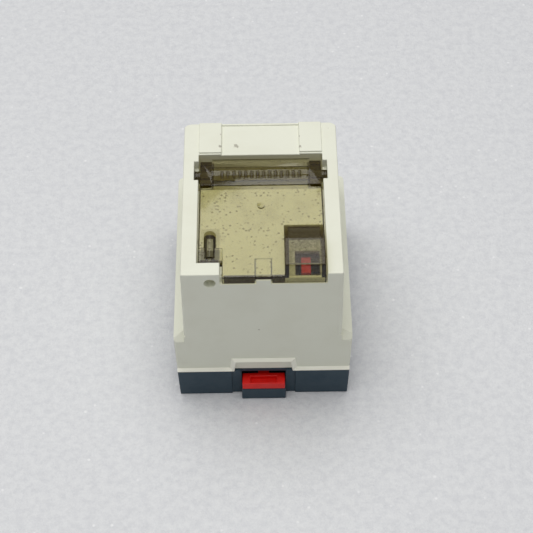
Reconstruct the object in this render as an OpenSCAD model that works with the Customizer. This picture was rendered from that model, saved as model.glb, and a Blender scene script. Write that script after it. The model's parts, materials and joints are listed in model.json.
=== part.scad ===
// Plug-in control relay: casing, plug-in base with a sprung release latch, a hinged sealable
// window cover with an indicator bubble, and the complete four-pole mechanism inside.
// +X is the right-hand side, -Y the latch side, +Z up; the origin is the middle of the
// underside of the whole envelope.

/* [Envelope] */
// Width across the shoulders, the widest place
shoulder_w = 45; // [42:0.5:60]
// Width of the tower at its top
tower_w = 39.1; // [38.6:0.1:50]
// Depth of the lower casing, wall to wall
body_d = 55.4; // [51:0.5:72]
// How much further back the lower casing reaches than the tower
back_ledge = 4.4; // [4.2:0.1:6]
// Height of the casing's side rails above the underside
total_h = 47.5; // [40:0.5:60]
// Height of the dark base
base_h = 9.6; // [9.2:0.1:13]
// Height of the outer edge of the shoulders
shoulder_h = 22.4; // [21:0.1:25]
// Rise of the shoulders from their outer edge to the tower
shoulder_rise = 0.9; // [0.4:0.1:2]

/* [Walls] */
// Casing wall
wall = 1.8; // [1.4:0.1:2.2]
// Wall of the base skirt
skirt_wall = 1.8; // [1.2:0.1:2.2]
// Thickness of the deck that carries the blades
deck_t = 2.0; // [1.5:0.1:2.6]
// Draft of each tower side over its height
tower_draft = 0.25; // [0:0.05:0.6]
// Draft of each side of the base over its height
base_draft = 0.4; // [0:0.05:0.8]
// How far the rim bead stands out of the front and back walls
rim_out = 0.9; // [0.5:0.1:1.2]

/* [Top tray] */
// Width of the tray between the side rails
tray_w = 31.4; // [30.5:0.1:33]
// Depth of the cover's top face below the rails
cover_drop = 0.9; // [0.5:0.1:1.5]
// Thickness of the window cover
cover_t = 1.2; // [0.8:0.1:1.6]
// Thickness of the tray floor
floor_t = 1.4; // [1:0.1:2]
// Gap between the window cover and the tray all round
cover_gap = 0.25; // [0.2:0.05:0.4]
// Depth of the strip behind the cover, which carries the two pads
strip_d = 11.1; // [9:0.1:13]
// Width of each of the two pads
pad_w = 5.8; // [3:0.1:6.5]
// Height of the pads above the rails
pad_rise = 0.4; // [0.2:0.1:0.8]
// Size of the solid corner block that carries the seal hole, across X
block_w = 9.4; // [8.8:0.1:9.8]
// Depth of the corner block
block_d = 4.0; // [3:0.1:4.4]
// Diameter of the seal wire hole
seal_hole_dia = 2.8; // [2:0.1:3.2]
// Depth of the seal hole's axis below the rails
seal_hole_drop = 3.3; // [3:0.1:3.6]

/* [Cover] */
// Radius of the hinge barrel
barrel_r = 2.6; // [2.2:0.1:2.8]
// Diameter of the hinge pins
hinge_pin_dia = 3.2; // [2:0.1:3.6]
// Length of each hinge pin beyond its end block
hinge_pin_l = 2.2; // [1.5:0.1:2.4]
// Width of the indicator bubble
bubble_w = 9.8; // [9.2:0.1:10.4]
// Length of the indicator bubble from the front
bubble_d = 16.5; // [12:0.1:20]
// Height of the bubble above the cover
bubble_h = 4.2; // [2:0.1:6]
// Wall of the bubble
bubble_wall = 1.0; // [0.7:0.1:1.3]

/* [Latch] */
// Width of the latch head
latch_head_w = 11.0; // [8:0.1:12]
// Height of the latch head
latch_head_h = 2.35; // [2:0.05:2.6]
// Depth of the latch head
latch_head_d = 3.5; // [3:0.1:4]
// Travel of the latch when it is levered out
latch_travel = 2.0; // [1:0.1:2.2]
// How far the tongue under the latch stands out in front of the casing
tongue_out = 2.7; // [1.8:0.1:3.5]
// Height of the tongue
tongue_h = 4.25; // [3.6:0.05:4.4]
// Half the width of the opening for the latch at the deck
notch_half_w = 8.15; // [7.5:0.05:9]
// Height of the notch in the casing above the base
notch_h = 3.8; // [3:0.1:5]

/* [Relay] */
// Distance between neighbouring poles
pole_pitch = 9.0; // [7.5:0.1:9.1]
// Width of the blades and contact strips
blade_w = 4.2; // [3.5:0.1:4.8]
// Thickness of the blades and contact strips
blade_t = 0.8; // [0.6:0.1:0.9]
// Gap between the tip of a blade and the resting plane
blade_recess = 1.2; // [0.6:0.1:3]
// Swing of the armature
armature_swing = 2.5; // [1.5:0.1:2.8]
// Diameter of the core
core_dia = 8.0; // [6:0.1:9]
// Side of the square bobbin flanges
bobbin_w = 18.2; // [15:0.1:18.4]
// Thickness of the moving leaves
leaf_t = 0.3; // [0.2:0.05:0.4]
// Diameter of the armature pin
armature_pin_dia = 1.6; // [1.2:0.1:1.8]

/* [Hidden] */
POLES = 4;
$fn = 48;

ivory = [0.87, 0.87, 0.80];
slate = [0.17, 0.22, 0.26];
latch_red = [0.75, 0.08, 0.06];
smoke = [0.42, 0.36, 0.24, 0.45];
buff = [0.80, 0.76, 0.64];
steel = [0.68, 0.69, 0.70];
copper = [0.72, 0.40, 0.22];
brass = [0.80, 0.66, 0.34];
silver = [0.85, 0.85, 0.84];

eps = 0.02;              // overlap that joins or clears two shapes
slip = 0.1;              // easy clearance between fitted pieces
running = 0.05;          // radial clearance of a pin in its bore

// Planes of the casing, from the front wall backwards
front_y = (tongue_out - body_d - rim_out) / 2;
tower_d = body_d - back_ledge;
tower_back = front_y + tower_d;
body_back = front_y + body_d;
foot_half_w = shoulder_w / 2 - base_draft;
tower_foot_half_w = tower_w / 2 + tower_draft;
cav_front = front_y + wall;
cav_back = body_back - wall;
cav_half_w = foot_half_w - wall;
tower_cav_half_w = tower_w / 2 - wall;
tower_cav_back = tower_back - wall;
shoulder_top = shoulder_h + shoulder_rise;
lower_cav_top = shoulder_h - wall;

// Heights in the tray
cover_top = total_h - cover_drop;
cover_bot = cover_top - cover_t;
tray_floor = cover_bot;
tray_under = tray_floor - floor_t;
tray_half = tray_w / 2;
tray_back = tower_back - strip_d;
lip_t = 1.0;
lip_drop = 2.55;
lip_bot = cover_top - lip_drop;
floor_front = front_y + lip_t + slip;

// Cover hinge
hinge_y = tray_back - 5.5;
hinge_z = cover_top - 1.8;
cover_back = tray_back - 0.65;
trough_front = hinge_y - 5.1;
trough_floor = hinge_z - 5.4;
trough_wall = 1.2;
trough_under = trough_floor - trough_wall;
end_block_in = 12.4;
end_block_out = tray_half - 0.4;
notch_front = hinge_y - 3.15;
notch_len = 6.3;
notch_deep = 1.1;

// Seal corner
seal_x = -tray_half + 3.1;
seal_z = total_h - seal_hole_drop;
block_in = -tower_w / 2 + block_w;
pocket_back = front_y + 9.2;
pocket_floor = seal_z - seal_hole_dia / 2 - 1.2;
pocket_wall = 1.1;

// Snap tongue cut free in the tray floor
snap_x = 0.35;
snap_half = 1.85;
snap_gap = 0.22;
snap_l = 6.2;

// Indicator bubble, flag and its slot
bubble_right = tray_half - 0.4;
bubble_left = bubble_right - bubble_w;
flag_w = 2.3;
flag_d = 4.2;
slot_w = 5.9;
slot_left = bubble_left + 2.6;
flag_left = slot_left + 1.4;
slot_front = cav_front + 0.2;
slot_back = slot_front + 7.4;
flag_front = slot_front + 0.4;

// Base
skirt_half = foot_half_w - base_draft - skirt_wall;
deck_z = base_h - deck_t;
spigot_h = 2.4;
spigot_t = 1.1;
spigot_half = cav_half_w - slip;
bead_lip = 0.25;
bead_rise = 0.7;
bead_half = notch_half_w - 0.7;
cheek_in = 0.35;
recess_d = 3.0;
recess_ceiling = 1.2;
recess_wall = 1.6;
recess_back = front_y + recess_d;
tongue_half = latch_head_w / 2 + 0.2;

// Latch
latch_z = tongue_h + slip;
neck_half = 1.45;
slider_half = 6.0;
slider_front = recess_back + recess_wall + latch_travel + 0.4;
slider_l = 9.4;
slider_back = slider_front + slider_l;
window_front = slider_front + 1.6;
window_back = slider_back - 1.9;
window_half = 1.6;
spring_lug_d = 1.1;
rail_front = recess_back + recess_wall;
latch_mid_z = latch_z + latch_head_h / 2;

// Electromagnet
block_floor_t = 2.0;
block_top = base_h + block_floor_t;
yoke_t = 2.0;
yoke_half = 8.0;
yoke_front = cav_front + slip + spigot_t + 0.2;
yoke_leg_back = yoke_front + yoke_t;
pivot_y = yoke_front + yoke_t / 2;
bobbin_front = yoke_leg_back + 0.4;
core_y = bobbin_front + bobbin_w / 2;
bobbin_back = bobbin_front + bobbin_w;
yoke_back = bobbin_back - 0.4;
armature_t = 1.6;
armature_half = 6.3;
armature_barrel_r = 1.6;
coil_blade_x = spigot_half - 4.6;
coil_blade_y = core_y - 1;
screw_x = 5.6;
screw_y = (yoke_leg_back + core_y - core_dia / 2) / 2;
screw_r = 1.2;
screw_head_r = 2.2;
screw_head_h = 1.2;

// Contacts, placed from the coil and the back wall
com_y = bobbin_back + 1.8;
closed_y = tower_cav_back - 0.6;
contact_y = closed_y - 2.8;
card_y = contact_y - 3.6;
leaf_root_y = com_y + 3.8;
open_y = (com_y + closed_y) / 2 + 0.9;
card_t = 1.4;
leaf_z = base_h + 9.4;
rivet_h = 0.5;
rivet_r = 1.3;
shank_r = 0.6;
leaf_half = 1.6;
arm_l = card_y - pivot_y;
card_travel = arm_l * sin(armature_swing);
leaf_swing = asin(card_travel / (card_y - leaf_root_y));
// travel of the leaf's rivet at its far edge, which meets the lower contact first
contact_travel = (contact_y + rivet_r - leaf_root_y) * sin(leaf_swing);

// The armature clears the hinge trough when it stands open
tip_y = card_y + 1.2;
pivot_z = trough_under - 0.4 - (tip_y - pivot_y) * sin(armature_swing) - armature_t / 2;
pole_z = pivot_z - armature_t / 2;
card_top = pivot_z + arm_l * tan(armature_swing) - armature_t / 2 / cos(armature_swing) - 0.06;
card_half = tower_cav_half_w - 1.15;
closed_z = leaf_z + leaf_t / 2 + 2 * rivet_h + 0.05;
open_z = leaf_z - leaf_t / 2 - 2 * rivet_h - 0.03 - contact_travel;
flag_arm_z = card_top - 1.8;
flag_top = tray_floor + 0.2;

// Armature spring on its seat between the middle poles
spring_y = leaf_root_y - 1.0;
seat_r = (pole_pitch - blade_w) / 2 - 0.25;
spring_r = seat_r - 0.55;
spring_seat = leaf_z + 7;
spring_top = pivot_z + (spring_y - pivot_y) * tan(armature_swing) - armature_t / 2 - 0.15;

// Bobbin and winding
bobbin_low = block_top + yoke_t + 0.05;
bobbin_high = pole_z - 0.9;
bobbin_barrel_r = core_dia / 2 + 1.2;
flange_t = 1.3;
winding_r = bobbin_w / 2 - 0.5;
winding_low = bobbin_low + flange_t + 0.03;
winding_high = bobbin_high - flange_t - 0.03;

function pole_x(n) = (n - (POLES + 1) / 2) * pole_pitch;

// --- shared shapes -----------------------------------------------------------------------

// A box given by two corners
module box(low, high) {
    translate(low) cube(high - low);
}

// A profile drawn in (y, z) and run along X
module along_x(x0, x1) {
    translate([x0, 0, 0]) rotate([90, 0, 90]) linear_extrude(x1 - x0) children();
}

// A profile drawn in (x, z) and run along Y
module along_y(y0, y1) {
    translate([0, y1, 0]) rotate([90, 0, 0]) linear_extrude(y1 - y0) children();
}

// A cylinder along X, centred on (y, z)
module rod_x(x0, x1, y, z, r) {
    translate([x0, y, z]) rotate([0, 90, 0]) cylinder(h = x1 - x0, r = r);
}

// A cylinder along Y, centred on (x, z)
module rod_y(y0, y1, x, z, r) {
    translate([x, y0, z]) rotate([-90, 0, 0]) cylinder(h = y1 - y0, r = r);
}

// Plan outline with front and back corner radii
module plan(half_w, y0, y1, r_front, r_back) {
    difference() {
        translate([-half_w, y0]) square([2 * half_w, y1 - y0]);
        for (s = [-1, 1]) {
            corner_waste(s * half_w, y0, r_front, s, -1);
            corner_waste(s * half_w, y1, r_back, s, 1);
        }
    }
}

// What a corner radius takes off a plan outline
module corner_waste(x, y, r, sx, sy) {
    difference() {
        translate([x - sx * r / 2, y - sy * r / 2]) square([r + eps, r + eps], center = true);
        translate([x - sx * r, y - sy * r]) circle(r);
    }
}

// Centre line points of a helix that starts and ends with a closed turn
function helix(r, h, turns, steps) = [
    for (i = [0:turns * steps])
        let (a = 360 * i / steps, t = i / (turns * steps))
        [r * cos(a), r * sin(a), h * (t - 0.055 * sin(360 * t))]
];

// A round wire swept along a helix about Z
module coil_spring(r, wire_r, h, turns, steps = 14, sides = 6) {
    path = helix(r, h - 2 * wire_r, turns, steps);
    n = len(path);
    rings = [
        for (i = [0:n - 1], k = [0:sides - 1])
            let (a = 360 * i / steps, b = 360 * k / sides)
            path[i] + wire_r * [cos(b) * cos(a), cos(b) * sin(a), sin(b)]
    ];
    walls = [
        for (i = [0:n - 2], k = [0:sides - 1])
            let (j = (k + 1) % sides)
            [i * sides + k, i * sides + j, (i + 1) * sides + j, (i + 1) * sides + k]
    ];
    start = [for (k = [sides - 1:-1:0]) k];
    end = [for (k = [0:sides - 1]) (n - 1) * sides + k];
    translate([0, 0, wire_r]) polyhedron(rings, concat([start], walls, [end]));
}

// --- casing ------------------------------------------------------------------------------

module housing_outer() {
    // lower casing: front outline crossed with the side and plan outlines
    intersection() {
        along_y(front_y, body_back) polygon([
            [-foot_half_w, base_h], [foot_half_w, base_h],
            [shoulder_w / 2, shoulder_h], [tower_foot_half_w, shoulder_top],
            [-tower_foot_half_w, shoulder_top], [-shoulder_w / 2, shoulder_h]
        ]);
        along_x(-shoulder_w, shoulder_w) polygon([
            [front_y, base_h], [body_back, base_h], [body_back, shoulder_h],
            [tower_back, shoulder_top], [front_y, shoulder_top]
        ]);
        linear_extrude(total_h) plan(shoulder_w / 2, front_y, body_back, 0.8, 1.5);
    }
    // tower
    intersection() {
        along_y(front_y, tower_back) polygon([
            [-tower_foot_half_w, shoulder_h - 1], [tower_foot_half_w, shoulder_h - 1],
            [tower_w / 2, total_h], [-tower_w / 2, total_h]
        ]);
        linear_extrude(total_h) plan(tower_foot_half_w, front_y, tower_back, 0.8, 2.2);
    }
    pads();
    rim_bead(-1);
    rim_bead(1);
    notch_bead();
}

// The two raised pads behind the cover
module pads() {
    for (s = [-1, 1])
        box([s * (tray_half - pad_w / 2) - pad_w / 2, tray_back + 0.4, total_h - 1],
            [s * (tray_half - pad_w / 2) + pad_w / 2, tower_back, total_h + pad_rise]);
}

// Profile of the rim bead in (y, z), standing out towards -y, with a sloping top
module bead_profile() {
    polygon([
        [0.5, 0], [-rim_out, 0], [-rim_out, bead_lip], [0, bead_rise], [0.5, bead_rise]
    ]);
}

// Bead along the foot of the front (side -1) or back (side 1) wall
module rim_bead(side) {
    wall_y = side < 0 ? front_y : body_back;
    difference() {
        translate([0, wall_y, base_h]) mirror([0, side > 0 ? 1 : 0, 0])
            along_x(-foot_half_w, foot_half_w) bead_profile();
        if (side < 0)
            box([-bead_half, front_y - 2, base_h - 1], [bead_half, front_y, base_h + 3]);
    }
}

// The bead climbs round the notch over the latch
module notch_bead() {
    top_half = bead_half - 0.5;
    lean = atan((bead_half - top_half) / notch_h);
    flat_w = 0.4;
    top = base_h + notch_h + bead_rise;
    slope = (bead_rise - bead_lip) / rim_out;
    translate([0, front_y, base_h + notch_h])
        along_x(-top_half - flat_w, top_half + flat_w) bead_profile();
    for (s = [-1, 1])
        intersection() {
            translate([s * bead_half, front_y, base_h])
                rotate([0, -s * lean, 0]) translate([0, 0, -1])
                    mirror([s < 0 ? 1 : 0, 0, 0]) linear_extrude(notch_h + 4) polygon([
                        [0, 0.5], [0, -rim_out], [flat_w, -rim_out],
                        [flat_w + rim_out, 0], [flat_w + rim_out, 0.5]
                    ]);
            along_x(-shoulder_w, shoulder_w) polygon([
                [front_y + 1, base_h], [front_y - 2, base_h], [front_y - 2, top - 2 * slope],
                [front_y, top], [front_y + 1, top]
            ]);
        }
}

// Hollow of the casing below the tray
module housing_cavity() {
    box([-cav_half_w, cav_front, base_h - 1], [cav_half_w, cav_back, lower_cav_top]);
    box([-tower_cav_half_w, cav_front, base_h], [tower_cav_half_w, tower_cav_back, tray_under]);
    // the strip behind the cover is cored out from below
    box([-tower_cav_half_w, tray_back + trough_wall, tray_under - 1],
        [tower_cav_half_w, tower_cav_back, total_h - wall]);
}

// Walls that hang below the tray floor: hinge trough, seal pocket, hinge bosses
module tray_hangers() {
    box([-tower_cav_half_w - eps, trough_front - trough_wall, trough_under],
        [tower_cav_half_w + eps, tray_back + trough_wall, tray_under + eps]);
    box([-tower_cav_half_w - eps, cav_front - eps, pocket_floor - pocket_wall],
        [block_in + pocket_wall, pocket_back + pocket_wall, tray_under + eps]);
}

module tray_cuts() {
    // window
    difference() {
        box([-tray_half, front_y - 1, tray_floor], [tray_half, tray_back, total_h + 1]);
        box([-tower_w, front_y - 2, tray_floor - 1],
            [block_in, front_y + block_d, total_h + 2]);
    }
    // step for the cover's front lip, leaving the snap tongue's end
    difference() {
        box([block_in, front_y - 1, lip_bot - slip], [tray_half, floor_front, total_h + 1]);
        box([snap_x - snap_half, front_y, lip_bot - 1],
            [snap_x + snap_half, floor_front + 1, tray_floor - 0.05]);
    }
    // trough for the hinge barrel
    box([-tray_half, trough_front, trough_floor], [tray_half, tray_back, total_h]);
    // lead-in notches and bores for the hinge pins
    for (s = [-1, 1]) {
        low_x = s < 0 ? -tray_half - notch_deep : tray_half - eps;
        box([low_x, notch_front, hinge_z],
            [low_x + notch_deep + eps, notch_front + notch_len, total_h + 1]);
    }
    rod_x(-end_block_out - hinge_pin_l - 0.2, end_block_out + hinge_pin_l + 0.2,
          hinge_y, hinge_z, hinge_pin_dia / 2 + running);
    // seal pocket, and the hole through the corner block into it
    box([-tray_half + 0.2, front_y + block_d, pocket_floor],
        [block_in, pocket_back, tray_floor + 1]);
    rod_y(front_y - 1, front_y + block_d + 1, seal_x, seal_z, seal_hole_dia / 2);
    // slot under the indicator
    box([slot_left, slot_front, tray_under - 1], [slot_left + slot_w, slot_back, total_h]);
    snap_slots();
    // label panel between the pads
    box([-tray_half + pad_w - eps, tray_back - 1, total_h - 0.3],
        [tray_half - pad_w + eps, tower_back - 0.7, total_h + 1]);
}

// Slots that free the snap tongue in the tray floor
module snap_slots() {
    for (s = [-1, 1])
        box([snap_x + s * (snap_half + snap_gap / 2) - snap_gap / 2,
             floor_front - eps, tray_under - 1],
            [snap_x + s * (snap_half + snap_gap / 2) + snap_gap / 2,
             front_y + snap_l + snap_gap, tray_floor + 1]);
    box([snap_x - snap_half - snap_gap, front_y + snap_l, tray_under - 1],
        [snap_x + snap_half + snap_gap, front_y + snap_l + snap_gap, tray_floor + 1]);
}

module housing() {
    color(ivory) difference() {
        union() {
            difference() {
                housing_outer();
                housing_cavity();
            }
            tray_hangers();
        }
        tray_cuts();
        shoulder_chamfers();
    }
}

// Chamfer at the latch end of each shoulder
module shoulder_chamfers() {
    for (s = [-1, 1])
        along_x(s < 0 ? -shoulder_w : tower_foot_half_w, s < 0 ? -tower_foot_half_w : shoulder_w)
            polygon([
                [front_y - 1, shoulder_top - 3.2], [front_y + 2.2, shoulder_top + eps],
                [front_y + 2.2, shoulder_top + 2], [front_y - 1, shoulder_top + 2]
            ]);
}

// --- base --------------------------------------------------------------------------------

module base_outer() {
    base_front = front_y - rim_out;
    base_back = body_back + rim_out;
    intersection() {
        along_y(base_front, base_back) polygon([
            [-foot_half_w + base_draft, 0], [foot_half_w - base_draft, 0],
            [foot_half_w, base_h], [-foot_half_w, base_h]
        ]);
        linear_extrude(base_h) plan(foot_half_w, base_front, base_back, 0.6, 0.8);
    }
}

module base() {
    color(slate) {
        difference() {
            union() {
                difference() {
                    base_outer();
                    box([-skirt_half, front_y - rim_out + skirt_wall, -1],
                        [skirt_half, body_back + rim_out - skirt_wall, deck_z]);
                }
                // walls round the latch opening
                box([-notch_half_w - recess_wall, front_y - rim_out + eps, 0],
                    [notch_half_w + recess_wall, recess_back + recess_wall, base_h - eps]);
                latch_rails();
                spring_lug();
                spigot();
            }
            // latch opening, between cheeks set a little behind the front
            box([-notch_half_w, front_y - rim_out - 1, -1],
                [notch_half_w, front_y - rim_out + cheek_in, base_h + 1]);
            box([-tongue_half, front_y - rim_out - 1, -1],
                [tongue_half, recess_back, base_h - recess_ceiling]);
            box([-tongue_half, front_y - rim_out - 1, -1], [tongue_half, front_y, base_h + 1]);
            // way through for the latch's neck
            box([-neck_half - 0.25, recess_back - 1, latch_z - 0.15],
                [neck_half + 0.25, rail_front + 1, latch_z + latch_head_h + 0.15]);
            blade_slots();
        }
        // tongue
        box([-tongue_half, front_y - tongue_out, 0], [tongue_half, recess_back + 0.2, tongue_h]);
    }
}

// Rails under the deck that carry the latch slider
module latch_rails() {
    rail_back = slider_back - 0.4;
    for (s = [-1, 1]) {
        x0 = s < 0 ? -slider_half - 1.4 : slider_half + 0.2;
        box([x0, rail_front - eps, latch_z - 1.15], [x0 + 1.2, rail_back, deck_z + eps]);
        lip_x = s < 0 ? -slider_half - 1.4 : slider_half - 0.8;
        box([lip_x, rail_front - eps, latch_z - 1.15], [lip_x + 2.2, rail_back, latch_z - 0.15]);
        run_x = s < 0 ? -5 : 4;
        box([run_x, rail_front - eps, latch_z + latch_head_h + 0.15],
            [run_x + 1, rail_back, deck_z + eps]);
    }
}

// Lug under the deck that the latch spring pushes against
module spring_lug() {
    box([-window_half + 0.2, window_front + 0.2, latch_z - 0.6],
        [window_half - 0.2, window_front + 0.2 + spring_lug_d, deck_z + eps]);
}

// Ring on the deck that the casing slides over
module spigot() {
    difference() {
        box([-spigot_half, cav_front + slip, base_h - eps],
            [spigot_half, cav_back - slip, base_h + spigot_h]);
        box([-spigot_half + spigot_t, cav_front + slip + spigot_t, base_h - 1],
            [spigot_half - spigot_t, cav_back - slip - spigot_t, base_h + spigot_h + 1]);
    }
}

// One slot through the deck for each blade
module blade_slots() {
    for (n = [1:POLES], y = [com_y, open_y, closed_y])
        blade_slot(pole_x(n), y);
    for (s = [-1, 1])
        blade_slot(s * coil_blade_x, coil_blade_y);
}

module blade_slot(x, y) {
    box([x - blade_w / 2 - slip, y - blade_t / 2 - slip, deck_z - 1],
        [x + blade_w / 2 + slip, y + blade_t / 2 + slip, base_h + 1]);
}

// --- latch -------------------------------------------------------------------------------

module release_latch() {
    pocket_half = latch_head_w / 2 - 2.15;
    hook_half = 3;
    hook_low = 1.4;
    head_front = front_y - tongue_out;
    head_back = head_front + latch_head_d;
    top = latch_z + latch_head_h;
    color(latch_red) difference() {
        union() {
            box([-latch_head_w / 2, head_front, latch_z], [latch_head_w / 2, head_back, top]);
            box([-neck_half, head_back - eps, latch_z], [neck_half, slider_front + 1, top]);
            box([-slider_half, slider_front, latch_z], [slider_half, slider_back, top]);
            // hook that catches the socket
            along_x(-hook_half, hook_half) polygon([
                [slider_back - 1.5, latch_z + eps], [slider_back, latch_z + eps],
                [slider_back, hook_low], [slider_back - 0.7, hook_low],
                [slider_back - 1.5, hook_low + 1]
            ]);
        }
        // screwdriver pocket in the head
        box([-pocket_half, head_front + 0.45, top - 1.1],
            [pocket_half, head_back - 1.15, top + 1]);
        // window for the spring
        box([-window_half, window_front, latch_z - 1], [window_half, window_back, top + 1]);
    }
}

module latch_spring() {
    y0 = window_front + 0.2 + spring_lug_d;
    color(steel) translate([0, y0 + 0.04, latch_mid_z]) rotate([-90, 0, 0])
        coil_spring(0.85, 0.16, window_back - y0 - 0.08, 6);
}

// --- cover -------------------------------------------------------------------------------

module bubble_outline(inset, drop) {
    y0 = front_y + inset;
    top = cover_top + bubble_h - inset;
    slope = (bubble_d - 8.7) / bubble_h;
    polygon([
        [y0, drop], [y0, top - 0.5], [y0 + 0.15, top - 0.15], [y0 + 0.5, top],
        [front_y + 8.7 - inset * 0.4, top],
        [front_y + bubble_d - inset * 1.2, cover_top + inset * 0.2],
        [front_y + bubble_d - inset * 1.2, drop]
    ]);
}

module cover_plate() {
    x_edge = tray_half - cover_gap;
    difference() {
        union() {
            box([-x_edge, front_y, cover_bot + 0.05], [x_edge, hinge_y, cover_top]);
            box([block_in + 2 * cover_gap, front_y, lip_bot], [x_edge, front_y + lip_t, cover_top]);
        }
        // clear of the corner block
        box([-tower_w, front_y - 1, lip_bot - 1],
            [block_in + 2 * cover_gap, front_y + block_d + cover_gap, total_h]);
        // hook mouth over the end of the snap tongue
        box([snap_x - snap_half - snap_gap, front_y - 1, lip_bot - 1],
            [snap_x + snap_half + snap_gap, front_y + lip_t + 0.2, tray_floor + 0.05]);
        // clear of the hinge notches
        box([-tower_w, trough_front - slip, lip_bot], [-end_block_in, tray_back + 1, total_h]);
        box([end_block_in, trough_front - slip, lip_bot], [tower_w, tray_back + 1, total_h]);
    }
}

module cover_hinge() {
    rod_x(-end_block_in - eps, end_block_in + eps, hinge_y, hinge_z, barrel_r);
    // flange behind the barrel
    box([-end_block_in, hinge_y, cover_bot + 0.2], [end_block_in, cover_back, cover_top - 0.2]);
    // thickened band in front of the barrel
    box([-end_block_in, trough_front + 0.4, cover_bot + 0.1],
        [end_block_in, hinge_y, cover_top + 0.25]);
    for (s = [-1, 1]) {
        x0 = s < 0 ? -end_block_out : end_block_in - eps;
        box([x0, trough_front + 0.3, hinge_z - 0.9],
            [x0 + end_block_out - end_block_in + eps, hinge_y + 3.4, cover_top + 0.5]);
    }
    rod_x(-end_block_out - hinge_pin_l, end_block_out + hinge_pin_l, hinge_y, hinge_z,
          hinge_pin_dia / 2);
}

// Hood over the seal hole, the step round it and the lug that hangs into the pocket
module cover_seal() {
    hood_r = 1.6;
    hood_z = cover_top - 0.6;
    hood_front = front_y + 5.7;
    hood_back = front_y + 13.2;
    intersection() {
        union() {
            rod_y(hood_front, hood_back, seal_x, hood_z, hood_r);
            translate([seal_x, hood_back, hood_z]) sphere(hood_r);
        }
        box([seal_x - hood_r, hood_front, cover_bot + 0.05],
            [seal_x + hood_r, hood_back + hood_r, cover_top + hood_r]);
    }
    box([-tray_half + cover_gap, front_y + block_d + 0.3, cover_bot + 0.05],
        [block_in + 0.7, front_y + 8.9, cover_top + 0.4]);
    box([seal_x - 2.4, front_y + block_d + 0.4, pocket_floor + 0.2],
        [seal_x + 2.1, front_y + block_d + 1.9, cover_top]);
}

module window_cover() {
    gate_y = front_y + 22.8;
    color(smoke) difference() {
        union() {
            cover_plate();
            cover_hinge();
            cover_seal();
            along_x(bubble_left, bubble_right) bubble_outline(0, cover_bot + 0.05);
            // gate mark
            translate([0, gate_y, cover_top - eps]) cylinder(h = 0.3, r = 0.9);
        }
        // hollow of the bubble
        along_x(bubble_left + bubble_wall, bubble_right - bubble_wall)
            bubble_outline(bubble_wall, cover_bot - 1);
        // bore of the seal hood, and the lug's own, a little wider than the block's
        rod_y(front_y + block_d, front_y + block_d + 3, seal_x, seal_z,
              seal_hole_dia / 2 + 0.25);
        rod_y(front_y + 4, front_y + 13, seal_x, cover_top - 0.6, 1.0);
    }
}

// --- electromagnet -----------------------------------------------------------------------

module yoke() {
    ear_in = armature_half + 0.3;
    color(steel) difference() {
        union() {
            box([-yoke_half, yoke_front, block_top], [yoke_half, yoke_back, block_top + yoke_t]);
            box([-yoke_half, yoke_front, block_top],
                [yoke_half, yoke_leg_back, pivot_z - armature_barrel_r - 0.3]);
            for (s = [-1, 1])
                box([s < 0 ? -yoke_half : ear_in, yoke_front, block_top],
                    [s < 0 ? -ear_in : yoke_half, yoke_leg_back, pivot_z + 1.4]);
        }
        translate([0, core_y, block_top - 1]) cylinder(h = yoke_t + 2, r = core_dia / 2 + eps);
        rod_x(-yoke_half - 1, yoke_half + 1, pivot_y, pivot_z, armature_pin_dia / 2 + eps);
        for (s = [-1, 1])
            translate([s * screw_x, screw_y, block_top - 1])
                cylinder(h = yoke_t + 2, r = screw_r + running);
    }
}

module core() {
    shoe_t = 0.8;
    color(steel) translate([0, core_y, 0]) {
        translate([0, 0, block_top]) cylinder(h = pole_z - block_top, r = core_dia / 2);
        translate([0, 0, pole_z - shoe_t]) cylinder(h = shoe_t, r = bobbin_barrel_r);
    }
}

module flange(z) {
    translate([-bobbin_w / 2, bobbin_front, z]) cube([bobbin_w, bobbin_w, flange_t]);
}

module bobbin() {
    color(buff) difference() {
        union() {
            flange(bobbin_low);
            flange(bobbin_high - flange_t);
            translate([0, core_y, bobbin_low])
                cylinder(h = bobbin_high - bobbin_low, r = bobbin_barrel_r);
            // posts for the lead wires
            for (s = [-1, 1])
                box([s * (bobbin_w / 2 + 0.8) - 1, core_y - 1.6, bobbin_low],
                    [s * (bobbin_w / 2 + 0.8) + 1, core_y + 1.6, bobbin_low + 1.9]);
        }
        translate([0, core_y, bobbin_low - 1])
            cylinder(h = bobbin_high - bobbin_low + 2, r = core_dia / 2 + slip);
    }
}

module sleeve(r_in, r_out, z0, z1) {
    translate([0, core_y, z0]) difference() {
        cylinder(h = z1 - z0, r = r_out);
        translate([0, 0, -1]) cylinder(h = z1 - z0 + 2, r = r_in);
    }
}

module winding() {
    color(copper) sleeve(bobbin_barrel_r + 0.03, winding_r, winding_low, winding_high);
}

module coil_wrap() {
    color("gold") sleeve(winding_r + 0.03, winding_r + 0.25, winding_low + 0.4,
                         winding_high - 0.4);
}

module yoke_screws() {
    color(steel) for (s = [-1, 1])
        translate([s * screw_x, screw_y, base_h + 0.1]) difference() {
            union() {
                cylinder(h = screw_head_h, r = screw_head_r);
                cylinder(h = block_floor_t + yoke_t - 0.3, r = screw_r);
            }
            translate([-screw_head_r, -0.3, -1]) cube([2 * screw_head_r, 0.6, 1.6]);
        }
}

module armature() {
    color(steel) translate([0, pivot_y, pivot_z]) rotate([armature_swing, 0, 0]) {
        low = -armature_t / 2;
        neck_w = 8;
        nose_w = 17.2;
        difference() {
            union() {
                box([-armature_half, 0, low],
                    [armature_half, bobbin_back - pivot_y, low + armature_t]);
                box([-neck_w / 2, 5, low], [neck_w / 2, tip_y - pivot_y, low + armature_t]);
                box([-nose_w / 2, card_y - pivot_y - 1.3, low],
                    [nose_w / 2, tip_y - pivot_y, low + armature_t]);
                rod_x(-armature_half, armature_half, 0, 0, armature_barrel_r);
            }
            rod_x(-8, 8, 0, 0, armature_pin_dia / 2 + running);
        }
    }
}

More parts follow.
